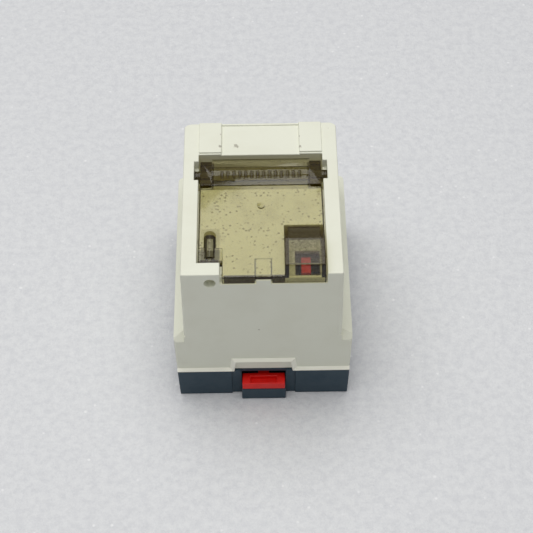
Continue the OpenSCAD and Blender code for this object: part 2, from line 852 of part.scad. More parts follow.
module armature_pin() {
    color(silver) rod_x(-yoke_half - 0.7, yoke_half + 0.7, pivot_y, pivot_z,
                        armature_pin_dia / 2);
}

module armature_spring() {
    color(steel) translate([0, spring_y, spring_seat + 0.05])
        coil_spring(spring_r, 0.22, spring_top - spring_seat - 0.1, 7);
}

// --- contacts ----------------------------------------------------------------------------

module actuator_card() {
    finger_z = leaf_z + leaf_t / 2 + 0.05;
    plate_low = leaf_z + 2.4;
    arm_x0 = flag_left + 0.15;
    arm_x1 = flag_left + flag_w - 0.15;
    color(buff) {
        difference() {
            box([-card_half, card_y - card_t / 2, plate_low],
                [card_half, card_y + card_t / 2, card_top]);
            // windows that lighten the card
            for (s = [-1, 1])
                box([s * 6.5 - 2.6, card_y - 2, plate_low + 2],
                    [s * 6.5 + 2.6, card_y + 2, card_top - 2.4]);
        }
        for (n = [1:POLES]) {
            box([pole_x(n) - 1.2, card_y - card_t / 2, finger_z + 0.5],
                [pole_x(n) + 1.2, card_y + card_t / 2, plate_low + eps]);
            rod_x(pole_x(n) - 1.2, pole_x(n) + 1.2, card_y, finger_z + 0.6, 0.6);
        }
        // arm that carries the indicator flag
        box([arm_x0, flag_front + 0.3, flag_arm_z], [arm_x1, card_y, card_top]);
        box([arm_x0, flag_front + 0.5, flag_arm_z],
            [arm_x1, flag_front + flag_d - 0.5, flag_top - 2.5]);
    }
}

module indicator_flag() {
    color(latch_red) difference() {
        box([flag_left, flag_front, flag_top - 4.5],
            [flag_left + flag_w, flag_front + flag_d, flag_top]);
        box([flag_left + 0.13, flag_front + 0.48, flag_top - 5],
            [flag_left + flag_w - 0.13, flag_front + flag_d - 0.48, flag_top - 2.48]);
    }
}

// Spring leaf of pole n, from its bend line to its tip
module moving_leaf(n) {
    color(copper) difference() {
        box([pole_x(n) - leaf_half, leaf_root_y + 0.03, leaf_z - leaf_t / 2],
            [pole_x(n) + leaf_half, contact_y + 1.5, leaf_z + leaf_t / 2]);
        translate([pole_x(n), contact_y, leaf_z - 1]) cylinder(h = 2, r = shank_r + eps);
    }
}

// Contact rivet with a head on each side, for the leaves
module moving_rivets() {
    color(silver) for (n = [1:POLES])
        translate([pole_x(n), contact_y, leaf_z]) {
            cylinder(h = leaf_t + 0.5, r = shank_r, center = true);
            for (s = [-1, 1])
                translate([0, 0, s * (leaf_t / 2 + rivet_h / 2)])
                    cylinder(h = rivet_h, r = rivet_r, center = true);
        }
}

// Blade that hangs below the deck from a point above it, with a bevelled tip
module blade(x, y, top) {
    difference() {
        box([x - blade_w / 2, y - blade_t / 2, blade_recess],
            [x + blade_w / 2, y + blade_t / 2, top]);
        for (s = [-1, 1])
            translate([x + s * blade_w / 2, y, blade_recess]) rotate([0, 45, 0])
                cube([1.2, 2, 1.2], center = true);
    }
}

// Terminal that clamps the root of the leaf
module common_terminal(n) {
    top = leaf_z - leaf_t / 2 - 0.02;
    color(brass) difference() {
        union() {
            blade(pole_x(n), com_y, top);
            box([pole_x(n) - blade_w / 2, com_y - blade_t / 2, top - blade_t],
                [pole_x(n) + blade_w / 2, leaf_root_y, top]);
            // clamped root of the leaf
            box([pole_x(n) - leaf_half, com_y + 0.2, top - eps],
                [pole_x(n) + leaf_half, leaf_root_y, leaf_z + leaf_t / 2]);
        }
        translate([pole_x(n), com_y + 2, top - 2]) cylinder(h = 4, r = shank_r + eps);
    }
}

module leaf_rivets() {
    low = leaf_z - leaf_t / 2 - blade_t - 0.02;
    head_h = 0.4;
    color(silver) for (n = [1:POLES])
        translate([pole_x(n), com_y + 2, 0]) {
            translate([0, 0, low - head_h])
                cylinder(h = leaf_t + blade_t + 2 * head_h, r = shank_r);
            for (z = [leaf_z + leaf_t / 2, low - head_h])
                translate([0, 0, z]) cylinder(h = head_h, r = 2 * shank_r);
        }
}

// Terminal above the leaf, closed at rest
module closed_terminal(n) {
    color(brass) difference() {
        union() {
            blade(pole_x(n), closed_y, closed_z + blade_t);
            box([pole_x(n) - blade_w / 2, contact_y - 1.5, closed_z],
                [pole_x(n) + blade_w / 2, closed_y + blade_t / 2, closed_z + blade_t]);
        }
        translate([pole_x(n), contact_y, closed_z - 1]) cylinder(h = 3, r = shank_r + eps);
    }
}

// Terminal below the leaf, open at rest
module open_terminal(n) {
    color(brass) difference() {
        union() {
            blade(pole_x(n), open_y, open_z);
            box([pole_x(n) - blade_w / 2, open_y - blade_t / 2, open_z - blade_t],
                [pole_x(n) + blade_w / 2, contact_y + 1.4, open_z]);
        }
        translate([pole_x(n), contact_y, open_z - 2]) cylinder(h = 4, r = shank_r + eps);
    }
}

// Contact rivets of the fixed terminals: head on the leaf's side, shank through the strip
module fixed_rivets(face, side) {
    color(silver) for (n = [1:POLES])
        translate([pole_x(n), contact_y, face]) {
            translate([0, 0, -side * rivet_h / 2])
                cylinder(h = rivet_h, r = rivet_r, center = true);
            translate([0, 0, side * blade_t / 2])
                cylinder(h = blade_t + 0.2, r = shank_r, center = true);
            translate([0, 0, side * (blade_t + 0.15)])
                cylinder(h = 0.3, r = rivet_r - 0.3, center = true);
        }
}

module coil_terminal(side) {
    color(brass) blade(side * coil_blade_x, coil_blade_y, bobbin_low + 1);
}

// Lead from the bobbin post down to the top of its coil terminal
module coil_lead(side) {
    r = 0.3;
    post_x = side * (bobbin_w / 2 + 1.8 + r);
    end_x = side * (coil_blade_x - blade_w / 2 - r);
    z = bobbin_low + 0.7;
    color(copper) {
        rod_x(min(post_x, end_x), max(post_x, end_x), coil_blade_y, z, r);
        translate([post_x, coil_blade_y, z]) cylinder(h = 1.4, r = r);
        translate([post_x, coil_blade_y, z]) sphere(r, $fn = 16);
    }
}

// --- contact block -----------------------------------------------------------------------

module contact_block() {
    block_half = spigot_half - spigot_t - 0.3;
    block_front = cav_front + slip + spigot_t + 0.2;
    block_back = cav_back - slip - spigot_t - 0.3;
    barrier_t = 0.9;
    barrier_top = closed_z + 3.5;
    wall_front = com_y - blade_t / 2 - 1.1;
    bar_half = tower_cav_half_w - 0.4;
    post_out = tower_cav_half_w - 0.2;
    post_w = 1.55;
    post_d = 1.25;
    color([0.36, 0.36, 0.37]) difference() {
        union() {
            box([-block_half, block_front, base_h], [block_half, block_back, block_top]);
            // barriers between the poles
            for (n = [1:POLES - 1])
                box([pole_x(n) + pole_pitch / 2 - barrier_t / 2, wall_front, base_h + 1],
                    [pole_x(n) + pole_pitch / 2 + barrier_t / 2, closed_y + 0.4, barrier_top]);
            // screen between the coil and the contacts
            box([-bar_half, wall_front, base_h + 1], [bar_half, wall_front + 0.8, leaf_z - 2.5]);
            // bars that the strips rest on
            box([-bar_half, com_y + blade_t / 2 + 0.1, base_h + 1],
                [bar_half, com_y + blade_t / 2 + 1, leaf_z - 1.6]);
            box([-bar_half, contact_y - 3.2, base_h + 1],
                [bar_half, contact_y - 1.6, open_z - blade_t - 0.05]);
            // guide posts for the card
            for (s = [-1, 1], y = [card_y - card_t / 2 - 0.15 - post_d, card_y + card_t / 2 + 0.15])
                box([s < 0 ? -post_out : post_out - post_w, y, base_h + 1],
                    [s < 0 ? -post_out + post_w : post_out, y + post_d, leaf_z + 11]);
            // seat of the armature's spring
            translate([0, spring_y, base_h + 1])
                cylinder(h = spring_seat - base_h - 1, r = seat_r);
        }
        // the card crosses the barriers
        box([-card_half, card_y - card_t / 2 - 0.3, leaf_z - 2.2],
            [card_half, card_y + card_t / 2 + 0.3, barrier_top + 1]);
        // ways through for the blades and the yoke screws
        for (n = [1:POLES], y = [com_y, open_y, closed_y]) block_slot(pole_x(n), y);
        for (s = [-1, 1]) {
            block_slot(s * coil_blade_x, coil_blade_y);
            translate([s * screw_x, screw_y, base_h - 1]) {
                cylinder(h = block_floor_t + 2, r = screw_r + slip);
                cylinder(h = 1 + screw_head_h + 0.15, r = screw_head_r + slip);
            }
        }
    }
}

module block_slot(x, y) {
    box([x - blade_w / 2 - slip, y - blade_t / 2 - slip, base_h - 1],
        [x + blade_w / 2 + slip, y + blade_t / 2 + slip, block_top + 1]);
}

// --- nodes -------------------------------------------------------------------------------

housing();
base();
release_latch();
latch_spring();
window_cover();
indicator_flag();
actuator_card();
armature();
armature_pin();
armature_spring();
yoke();
core();
bobbin();
winding();
coil_wrap();
yoke_screws();
contact_block();
coil_terminal(-1);  // coil_terminal_left
coil_terminal(1);  // coil_terminal_right
coil_lead(-1);  // coil_lead_left
coil_lead(1);  // coil_lead_right
for (n = [1:POLES]) {
    moving_leaf(n);
    common_terminal(n);
    closed_terminal(n);
    open_terminal(n);
}
moving_rivets();
leaf_rivets();
fixed_rivets(closed_z, 1);  // closed_rivets
fixed_rivets(open_z, -1);  // open_rivets
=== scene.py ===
"""The looks of a plug-in control relay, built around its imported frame.

Every piece is in metres in the row frame: +X right, -Y the latch side, +Z up. The casing, base,
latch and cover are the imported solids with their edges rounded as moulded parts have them; the
springs, the coil, its tape, the leads and the contact rivets are surfaces worked out on grids.
"""

import json
import logging
import math
from dataclasses import dataclass
from enum import Enum

import bmesh
import bpy
import numpy as np
from mathutils import Matrix, Vector


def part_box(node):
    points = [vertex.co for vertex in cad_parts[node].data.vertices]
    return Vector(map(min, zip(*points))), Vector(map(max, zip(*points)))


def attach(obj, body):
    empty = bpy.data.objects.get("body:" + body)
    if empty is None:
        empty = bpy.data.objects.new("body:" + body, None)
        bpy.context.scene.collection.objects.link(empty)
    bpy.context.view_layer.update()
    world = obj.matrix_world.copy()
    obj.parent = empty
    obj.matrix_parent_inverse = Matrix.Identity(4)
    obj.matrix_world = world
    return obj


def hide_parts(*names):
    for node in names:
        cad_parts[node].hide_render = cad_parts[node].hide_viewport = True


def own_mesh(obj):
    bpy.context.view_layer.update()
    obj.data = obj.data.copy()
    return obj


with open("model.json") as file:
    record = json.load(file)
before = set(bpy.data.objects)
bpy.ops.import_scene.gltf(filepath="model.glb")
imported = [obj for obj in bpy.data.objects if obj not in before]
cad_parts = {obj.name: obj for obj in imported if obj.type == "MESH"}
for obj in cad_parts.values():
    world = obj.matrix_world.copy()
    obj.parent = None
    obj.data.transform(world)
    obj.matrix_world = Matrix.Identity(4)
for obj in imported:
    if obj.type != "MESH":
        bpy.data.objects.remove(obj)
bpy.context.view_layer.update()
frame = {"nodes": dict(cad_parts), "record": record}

MM = 0.001
log = logging.getLogger("relay")

Socket = bpy.types.NodeSocket
Colour = tuple[float, float, float]


def joint_of(name: str) -> dict:
    """The record's joint of that name."""
    return next(j for j in frame["record"]["behaviour"]["joints"] if j["name"] == name)


class Slot(Enum):
    """The record's material slots that the pieces take their finish from."""

    IVORY = "ivory_plastic"
    SLATE = "slate_plastic"
    RED = "red_plastic"
    SMOKED = "smoked_plastic"
    GREY = "grey_plastic"
    BUFF = "buff_plastic"
    IRON = "soft_iron"
    SPRING = "spring_steel"
    BRIGHT = "bright_steel"
    COPPER = "copper_wire"
    BRONZE = "leaf_bronze"
    BRASS = "brass_strip"
    SILVER = "contact_silver"
    AMBER = "amber_tape"


# --- node trees --------------------------------------------------------------------------------


class Tree:
    """A material's node tree, with short calls for the nodes that the finishes use."""

    def __init__(self, name: str) -> None:
        """Makes an empty material of that name."""
        self.material = bpy.data.materials.new(name)
        self.material.use_nodes = True
        self.nodes = self.material.node_tree.nodes
        self.links = self.material.node_tree.links
        self.nodes.clear()
        self.out = self.nodes.new("ShaderNodeOutputMaterial")
        self._place = None

    @property
    def place(self) -> Socket:
        """The piece's own coordinates in metres, which are the row frame's."""
        if self._place is None:
            self._place = self.nodes.new("ShaderNodeTexCoord").outputs["Object"]
        return self._place

    def join(self, value: object, socket: Socket) -> None:
        """Links a socket, or sets a plain number or colour."""
        if isinstance(value, bpy.types.NodeSocket):
            self.links.new(value, socket)
        elif isinstance(value, tuple) and len(value) == 3 and socket.type == "RGBA":
            socket.default_value = (*value, 1.0)
        else:
            socket.default_value = value

    def math(self, operation: str, a: object, b: object = 0.0, clamp: bool = False) -> Socket:
        """One Math node.

        Args:
            operation: The node's operation.
            a: First value or socket.
            b: Second value or socket.
            clamp: Keeps the result between 0 and 1.

        Returns:
            The result.
        """
        node = self.nodes.new("ShaderNodeMath")
        node.operation = operation
        node.use_clamp = clamp
        self.join(a, node.inputs[0])
        self.join(b, node.inputs[1])
        return node.outputs[0]

    def vector(self, operation: str, a: object, b: object) -> Socket:
        """One Vector Math node, which gives its number for LENGTH and DISTANCE.

        Args:
            operation: The node's operation.
            a: First vector or socket.
            b: Second vector or socket.

        Returns:
            The result.
        """
        node = self.nodes.new("ShaderNodeVectorMath")
        node.operation = operation
        self.join(a, node.inputs[0])
        self.join(b, node.inputs[1])
        return node.outputs["Value" if operation in ("LENGTH", "DISTANCE") else "Vector"]

    def spread(self, value: Socket, low: float, high: float, to_low: float = 0.0,
               to_high: float = 1.0) -> Socket:
        """Takes low..high smoothly to to_low..to_high and holds it there outside.

        Args:
            value: The number to take.
            low: Start of its range.
            high: End of its range.
            to_low: What the start becomes.
            to_high: What the end becomes.

        Returns:
            The new number.
        """
        node = self.nodes.new("ShaderNodeMapRange")
        node.interpolation_type = "SMOOTHSTEP"
        self.join(value, node.inputs["Value"])
        for name, number in (("From Min", low), ("From Max", high),
                             ("To Min", to_low), ("To Max", to_high)):
            node.inputs[name].default_value = number
        return node.outputs["Result"]

    def _pattern(self, kind: str, size: float, moved: Colour,
                 stretch: Colour = (1.0, 1.0, 1.0)) -> bpy.types.Node:
        """A texture node over the piece's own coordinates.

        Args:
            kind: The node's type.
            size: Size of its features in metres.
            moved: How far the pattern is moved.
            stretch: How much longer the features are along each axis.

        Returns:
            The node.
        """
        mapping = self.nodes.new("ShaderNodeMapping")
        self.links.new(self.place, mapping.inputs["Vector"])
        mapping.inputs["Scale"].default_value = [1 / s for s in stretch]
        mapping.inputs["Location"].default_value = moved
        node = self.nodes.new(kind)
        self.links.new(mapping.outputs[0], node.inputs["Vector"])
        node.inputs["Scale"].default_value = 1 / size
        return node

    def noise(self, size: float, detail: float = 3.0, roughness: float = 0.55,
              stretch: Colour = (1.0, 1.0, 1.0), shift: float = 0.0) -> Socket:
        """Cloudy noise over the piece.

        Args:
            size: Size of its features in metres.
            detail: Octaves.
            roughness: Weight of the finer octaves.
            stretch: How much longer the features are along each axis.
            shift: Moves the pattern so that two layers differ.

        Returns:
            A number round 0.5.
        """
        node = self._pattern("ShaderNodeTexNoise", size, (shift, 0.7 * shift, -1.3 * shift),
                             stretch)
        node.inputs["Detail"].default_value = detail
        node.inputs["Roughness"].default_value = roughness
        return node.outputs["Fac"]

    def cells(self, size: float, shift: float = 0.0) -> tuple[Socket, Socket]:
        """Scattered points.

        Args:
            size: Mean distance between points in metres.
            shift: Moves the pattern so that two layers differ.

        Returns:
            Distance to the nearest point in cell sizes, and that point's own colour.
        """
        node = self._pattern("ShaderNodeTexVoronoi", size, (shift, -shift, 0.5 * shift))
        return node.outputs["Distance"], node.outputs["Color"]

    def mix(self, share: object, a: object, b: object, blend: str = "MIX") -> Socket:
        """Mixes two colours.

        Args:
            share: How much of b, from 0 to 1.
            a: First colour or socket.
            b: Second colour or socket.
            blend: The blend mode.

        Returns:
            The mixed colour.
        """
        node = self.nodes.new("ShaderNodeMix")
        node.data_type = "RGBA"
        node.blend_type = blend
        self.join(share, node.inputs["Factor"])
        self.join(a, node.inputs[6])
        self.join(b, node.inputs[7])
        return node.outputs[2]

    def axis(self, name: str) -> Socket:
        """One of the piece's own coordinates, X, Y or Z, in metres."""
        node = self.nodes.new("ShaderNodeSeparateXYZ")
        self.links.new(self.place, node.inputs[0])
        return node.outputs[name]

    def bump(self, height: Socket, depth: float, under: Socket | None = None) -> Socket:
        """A bump of that depth in metres, on top of another bump where one is given."""
        node = self.nodes.new("ShaderNodeBump")
        self.links.new(height, node.inputs["Height"])
        node.inputs["Distance"].default_value = depth
        if under is not None:
            self.links.new(under, node.inputs["Normal"])
        return node.outputs["Normal"]

    def within(self, low: Vector, high: Vector, soft: float) -> Socket:
        """1 inside a box of the row frame, fading to 0 over the distance soft outside it.

        Args:
            low: The box's lowest corner in metres.
            high: The box's highest corner in metres.
            soft: Width of the fade in metres.

        Returns:
            The share.
        """
        share = None
        for name, a, b in zip("XYZ", low, high):
            here = self.axis(name)
            rise = self.spread(here, a - soft, a)
            fall = self.spread(here, b, b + soft, 1.0, 0.0)
            both = self.math("MULTIPLY", rise, fall)
            share = both if share is None else self.math("MULTIPLY", share, both)
        return share

    def principled(self, **values: object) -> bpy.types.Node:
        """A Principled shader with the given inputs, their names with _ for spaces."""
        node = self.nodes.new("ShaderNodeBsdfPrincipled")
        for name, value in values.items():
            self.join(value, node.inputs[name.replace("_", " ")])
        return node

    def finish(self, shader: bpy.types.Node) -> bpy.types.Material:
        """Links the shader to the output and gives the material."""
        self.links.new(shader.outputs[0], self.out.inputs["Surface"])
        return self.material


# --- finishes ----------------------------------------------------------------------------------


@dataclass(frozen=True)
class Mark:
    """A small scuff or stain: its place in mm, its radius in mm and how dark it is."""

    at: Colour
    radius: float
    dark: float


@dataclass(frozen=True)
class MouldedPlastic:
    """Injection moulded plastic: a fine spark-eroded skin, faint clouding and handling marks.

    colour is the clean plastic, cloud how far it drifts, grain the depth of the skin in metres,
    speck the share of dust specks, and marks are single scuffs.
    """

    name: str
    colour: Colour
    tired: Colour
    rough: float = 0.45
    cloud: float = 0.35
    grain: float = 6e-6
    grain_size: float = 0.00016
    speck: float = 0.02
    speck_colour: Colour = (0.16, 0.13, 0.09)
    coat: float = 0.0
    marks: tuple[Mark, ...] = ()

    def base(self, tree: Tree) -> Socket:
        """The colour with its clouding, specks and marks."""
        cloud = tree.spread(tree.noise(0.009, 4.0), 0.38, 0.72)
        colour = tree.mix(tree.math("MULTIPLY", cloud, self.cloud), self.colour, self.tired)
        distance, own = tree.cells(0.0011)
        chosen = tree.math("LESS_THAN", own, self.speck)
        dot = tree.math("MULTIPLY", tree.spread(distance, 0.05, 0.13, 1.0, 0.0), chosen)
        colour = tree.mix(tree.math("MULTIPLY", dot, 0.7), colour, self.speck_colour)
        ragged = tree.noise(0.0007, 3.0)
        for mark in self.marks:
            far = tree.vector("DISTANCE", tree.place, tuple(MM * v for v in mark.at))
            far = tree.math("ADD", tree.math("DIVIDE", far, mark.radius * MM),
                            tree.math("MULTIPLY", tree.math("SUBTRACT", ragged, 0.5), 2.4))
            share = tree.math("MULTIPLY", tree.spread(far, 0.55, 1.0, 1.0, 0.0), mark.dark)
            colour = tree.mix(share, colour, self.speck_colour)
        return colour

    def make(self) -> bpy.types.Material:
        """Builds the material."""
        tree = Tree(self.name)
        colour = self.base(tree)
        wear = tree.noise(0.0032, 5.0, 0.7, shift=0.4)
        rough = tree.spread(wear, 0.3, 0.75, self.rough - 0.09, self.rough + 0.12)
        skin = tree.bump(tree.noise(self.grain_size, 2.0), self.grain)
        flow = tree.bump(tree.noise(0.006, 2.0, shift=1.7), 2.2e-5, skin)
        shader = tree.principled(Base_Color=colour, Roughness=rough, Normal=flow)
        shader.inputs["Specular IOR Level"].default_value = 0.42
        shader.inputs["Coat Weight"].default_value = self.coat
        shader.inputs["Coat Roughness"].default_value = 0.18
        return tree.finish(shader)


@dataclass(frozen=True)
class CasingPlastic(MouldedPlastic):
    """The casing's ivory plastic, with dust in the tray under the cover and painted shade on its
    back wall.

    walls are the planes of the front and back walls: what stands out of them is the bead round
    the foot, which takes a painted highlight in the rim colour, as if lit from above.
    """

    tray_low: Colour = (0.0, 0.0, 0.0)
    tray_high: Colour = (0.0, 0.0, 0.0)
    dust: Colour = (0.15, 0.115, 0.065)
    # box and colour of painted shade on the tray's back wall, where it lies dimmed under the cover
    back_wall_shade_low: Colour = (0.0, 0.0, 0.0)
    back_wall_shade_high: Colour = (0.0, 0.0, 0.0)
    back_wall_shade: Colour = (0.60, 0.54, 0.33)
    walls: tuple[float, float] = (-1.0, 1.0)
    # colour of the painted highlight on the bead round the foot
    rim: Colour = (0.95, 0.94, 0.84)

    def base(self, tree: Tree) -> Socket:
        """The moulded colour with tray dust over it, painted shade on the back wall and a painted
        highlight on the bead.
        """
        colour = super().base(tree)
        inside = tree.within(Vector(self.tray_low), Vector(self.tray_high), 0.0004)
        distance, own = tree.cells(0.0009, shift=0.9)
        gathered = tree.spread(tree.noise(0.0042, 3.0, shift=2.1), 0.38, 0.66, 0.14, 0.58)
        chosen = tree.math("LESS_THAN", own, gathered)
        dot = tree.math("MULTIPLY", tree.spread(distance, 0.16, 0.46, 1.0, 0.0), chosen)
        film = tree.spread(tree.noise(0.0055, 4.0, shift=3.3), 0.45, 0.75, 0.0, 0.22)
        share = tree.math("MAXIMUM", tree.math("MULTIPLY", dot, 0.8), film)
        colour = tree.mix(tree.math("MULTIPLY", share, inside), colour, self.dust)
        # Painted shade: the tray's back wall turned darker and olive, as it looks dimmed under the
        # smoked cover.
        back_wall_shade = tree.within(Vector(self.back_wall_shade_low), Vector(self.back_wall_shade_high), 0.0001)
        colour = tree.mix(tree.math("MULTIPLY", back_wall_shade, 0.7), colour, self.back_wall_shade)
        # Painted highlight: the bead standing out of the front and back walls is painted brighter,
        # as if lit from above.
        ahead = tree.spread(tree.axis("Y"), self.walls[0] - 0.12 * MM, self.walls[0], 1.0, 0.0)
        behind = tree.spread(tree.axis("Y"), self.walls[1], self.walls[1] + 0.12 * MM)
        rim = tree.math("MULTIPLY", tree.math("ADD", ahead, behind), 0.85)
        return tree.mix(rim, colour, self.rim)


@dataclass(frozen=True)
class DustAndShadeFilm:
    """A part of the cover under a brown film: its box in metres and how far. The film is dust and
    mould dulling, and on the lip and the thick edges painted shade.
    """

    low: Colour
    high: Colour
    share: float
    patch: float = 0.0012


@dataclass(frozen=True)
class SmokedAcrylic:
    """Clear brown acrylic: light is soaked up along its way through the solid plastic.

    tint is the colour that passes and density how fast the rest is soaked up, per metre.
    dust_and_shade are the parts where a brown film hides the clear plastic: dust, and painted shade
    where the lip and the thick edges look dark. ribs is the box of the row of short ribs along the
    hinge barrel, rib_step apart, which the film darkens as painted shade.
    """

    name: str
    tint: Colour
    density: float
    shade: Colour
    film: Colour
    dust_and_shade: tuple[DustAndShadeFilm, ...]
    ribs: tuple[Colour, Colour]
    rib_step: float = 1.5 * MM

    def film_share(self, tree: Tree) -> Socket:
        """How much of the surface the film hides: fine dust specks everywhere, more in the dust and
        shade parts, and painted shade along the ribs.
        """
        distance, own = tree.cells(0.00085, shift=0.37)
        chosen = tree.math("LESS_THAN", own, 0.13)
        total = tree.math("MULTIPLY", tree.spread(distance, 0.08, 0.24, 0.55, 0.0), chosen)
        for part in self.dust_and_shade:
            cloud = tree.spread(tree.noise(part.patch, 4.0, 0.65, shift=part.share), 0.36, 0.66,
                                0.72 * part.share, part.share)
            here = tree.within(Vector(part.low), Vector(part.high), 0.00025)
            total = tree.math("MAXIMUM", total, tree.math("MULTIPLY", cloud, here))
        # painted shade: the ribs darkened into short dark strokes
        rib_shade = tree.math("MULTIPLY", self.rib_height(tree), 0.5)
        return tree.math("MAXIMUM", total, rib_shade)

    def rib_height(self, tree: Tree) -> Socket:
        """Rows of short rounded ribs across the barrel."""
        wave = tree.math("PINGPONG", tree.axis("X"), self.rib_step / 2)
        rib = tree.spread(wave, 0.16 * self.rib_step, 0.34 * self.rib_step)
        low, high = self.ribs
        return tree.math("MULTIPLY", rib, tree.within(Vector(low), Vector(high), 0.0001))

    def make(self) -> bpy.types.Material:
        """Builds the material."""
        tree = Tree(self.name)
        haze = tree.noise(0.0016, 5.0, 0.7)
        rough = tree.spread(haze, 0.45, 0.8, 0.035, 0.12)
        ripple = tree.bump(tree.noise(0.005, 2.0), 1.2e-5)
        scratch = tree.noise(0.0011, 2.0, stretch=(1.0, 9.0, 1.0), shift=0.6)
        normal = tree.bump(self.rib_height(tree), 1.6e-4, tree.bump(scratch, 3e-6, ripple))
        glass = tree.principled(Roughness=rough, Normal=normal)
        glass.inputs["Base Color"].default_value = (1.0, 1.0, 1.0, 1.0)
        glass.inputs["Transmission Weight"].default_value = 1.0
        glass.inputs["IOR"].default_value = 1.49
        # the film's dark shader: dust, and painted shade on the lip, the thick edges and the ribs
        dark_film = tree.principled(Roughness=0.42, Normal=normal, Base_Color=self.film)
        dark_film.inputs["Specular IOR Level"].default_value = 0.16
        clear = tree.nodes.new("ShaderNodeBsdfTransparent")
        clear.inputs["Color"].default_value = (*self.shade, 1.0)
        path = tree.nodes.new("ShaderNodeLightPath")
        skin = self.blend(tree, self.film_share(tree), glass, dark_film)
        skin = self.blend(tree, path.outputs["Is Diffuse Ray"], skin, clear)
        skin = self.blend(tree, path.outputs["Is Shadow Ray"], skin, clear)
        soak = tree.nodes.new("ShaderNodeVolumeAbsorption")
        soak.inputs["Color"].default_value = (*self.tint, 1.0)
        soak.inputs["Density"].default_value = self.density
        tree.links.new(soak.outputs[0], tree.out.inputs["Volume"])
        return tree.finish(skin)

    @staticmethod
    def blend(tree: Tree, share: Socket, a: bpy.types.Node, b: bpy.types.Node) -> bpy.types.Node:
        """A Mix Shader node of a and b, share being how much of b."""
        node = tree.nodes.new("ShaderNodeMixShader")
        for socket, value in zip(node.inputs, (share, a.outputs[0], b.outputs[0])):
            tree.links.new(value, socket)
        return node


@dataclass(frozen=True)
class SheetMetal:
    """Rolled, drawn or plated metal: a brushed run along one axis and a patchy tarnish."""

    name: str
    colour: Colour
    tarnish: Colour
    rough: float = 0.3
    tarnished: float = 0.5
    run: Colour = (1.0, 1.0, 12.0)
    depth: float = 2e-6
    coat: float = 0.0

    def make(self) -> bpy.types.Material:
        """Builds the material."""
        tree = Tree(self.name)
        patch = tree.spread(tree.noise(0.0036, 5.0, 0.65), 0.42, 0.75)
        colour = tree.mix(tree.math("MULTIPLY", patch, self.tarnished), self.colour, self.tarnish)
        brush = tree.noise(0.00022, 3.0, stretch=self.run, shift=0.3)
        rough = tree.math("ADD", tree.spread(brush, 0.3, 0.7, self.rough - 0.07, self.rough + 0.1),
                          tree.math("MULTIPLY", patch, 0.14))
        shader = tree.principled(Base_Color=colour, Roughness=rough,
                                 Normal=tree.bump(brush, self.depth))
        shader.inputs["Metallic"].default_value = 1.0
        shader.inputs["Coat Weight"].default_value = self.coat
        shader.inputs["Coat Roughness"].default_value = 0.12
        return tree.finish(shader)


@dataclass(frozen=True)
class AmberTape:
    """Clear amber adhesive film round the coil: glossy, finely wrinkled, half see-through."""

    name: str
    colour: Colour

    def make(self) -> bpy.types.Material:
        """Builds the material."""
        tree = Tree(self.name)
        wrinkle = tree.noise(0.0014, 4.0, 0.6, stretch=(1.0, 1.0, 3.0))
        bubble = tree.spread(tree.noise(0.0006, 2.0, shift=0.8), 0.55, 0.7)
        colour = tree.mix(tree.math("MULTIPLY", bubble, 0.3), self.colour, (0.78, 0.6, 0.25))
        rough = tree.spread(wrinkle, 0.35, 0.7, 0.16, 0.34)
        shader = tree.principled(Base_Color=colour, Roughness=rough,
                                 Normal=tree.bump(wrinkle, 2.5e-5))
        shader.inputs["Coat Weight"].default_value = 0.5
        shader.inputs["Coat Roughness"].default_value = 0.1
        shader.inputs["Alpha"].default_value = 0.62
        return tree.finish(shader)


@dataclass(frozen=True)
class StoneFloor:
    """A plain pale floor: nearly white, very faintly clouded, with tiny glints."""

    name: str = "floor_stone"
    colour: Colour = (0.74, 0.75, 0.775)
    vein: Colour = (0.65, 0.66, 0.695)

    def make(self) -> bpy.types.Material:
        """Builds the material."""
        tree = Tree(self.name)
        cloud = tree.spread(tree.noise(0.0022, 5.0, 0.75), 0.35, 0.7)
        glint, own = tree.cells(0.0021, shift=0.2)
        spark = tree.math("MULTIPLY", tree.spread(glint, 0.08, 0.26, 1.0, 0.0),
                          tree.math("LESS_THAN", own, 0.16))
        colour = tree.mix(cloud, self.colour, self.vein)
        colour = tree.mix(tree.math("MULTIPLY", spark, 0.55), colour, (0.95, 0.95, 0.97))
        grain = tree.bump(tree.noise(0.0011, 4.0, 0.7, shift=0.5), 2.4e-4)
        shader = tree.principled(Base_Color=colour, Roughness=0.5, Normal=grain)
        return tree.finish(shader)


# --- meshes ------------------------------------------------------------------------------------


@dataclass
class Shell:
    """Points and quads or triangles of one closed surface, as arrays."""

    points: np.ndarray
    faces: list[np.ndarray]

    @staticmethod
    def join(shells: list["Shell"]) -> "Shell":
        """Puts several shells into one."""
        start = np.cumsum([0] + [len(s.points) for s in shells])
        faces = [f + n for s, n in zip(shells, start) for f in s.faces]
        return Shell(np.concatenate([s.points for s in shells]), faces)


def grid_quads(rows: int, steps: int, closed: bool = False) -> np.ndarray:
    """The quads of a grid of points whose rows each close on themselves.

    Args:
        rows: Number of rows.
        steps: Points in each row.
        closed: Whether the last row joins the first.

    Returns:
        The quads, four point numbers each.
    """
    i, k = np.meshgrid(np.arange(rows if closed else rows - 1), np.arange(steps), indexing="ij")
    j, after = (k + 1) % steps, (i + 1) % rows
    quads = np.stack([i * steps + k, i * steps + j, after * steps + j, after * steps + k], -1)
    return quads.reshape(-1, 4)


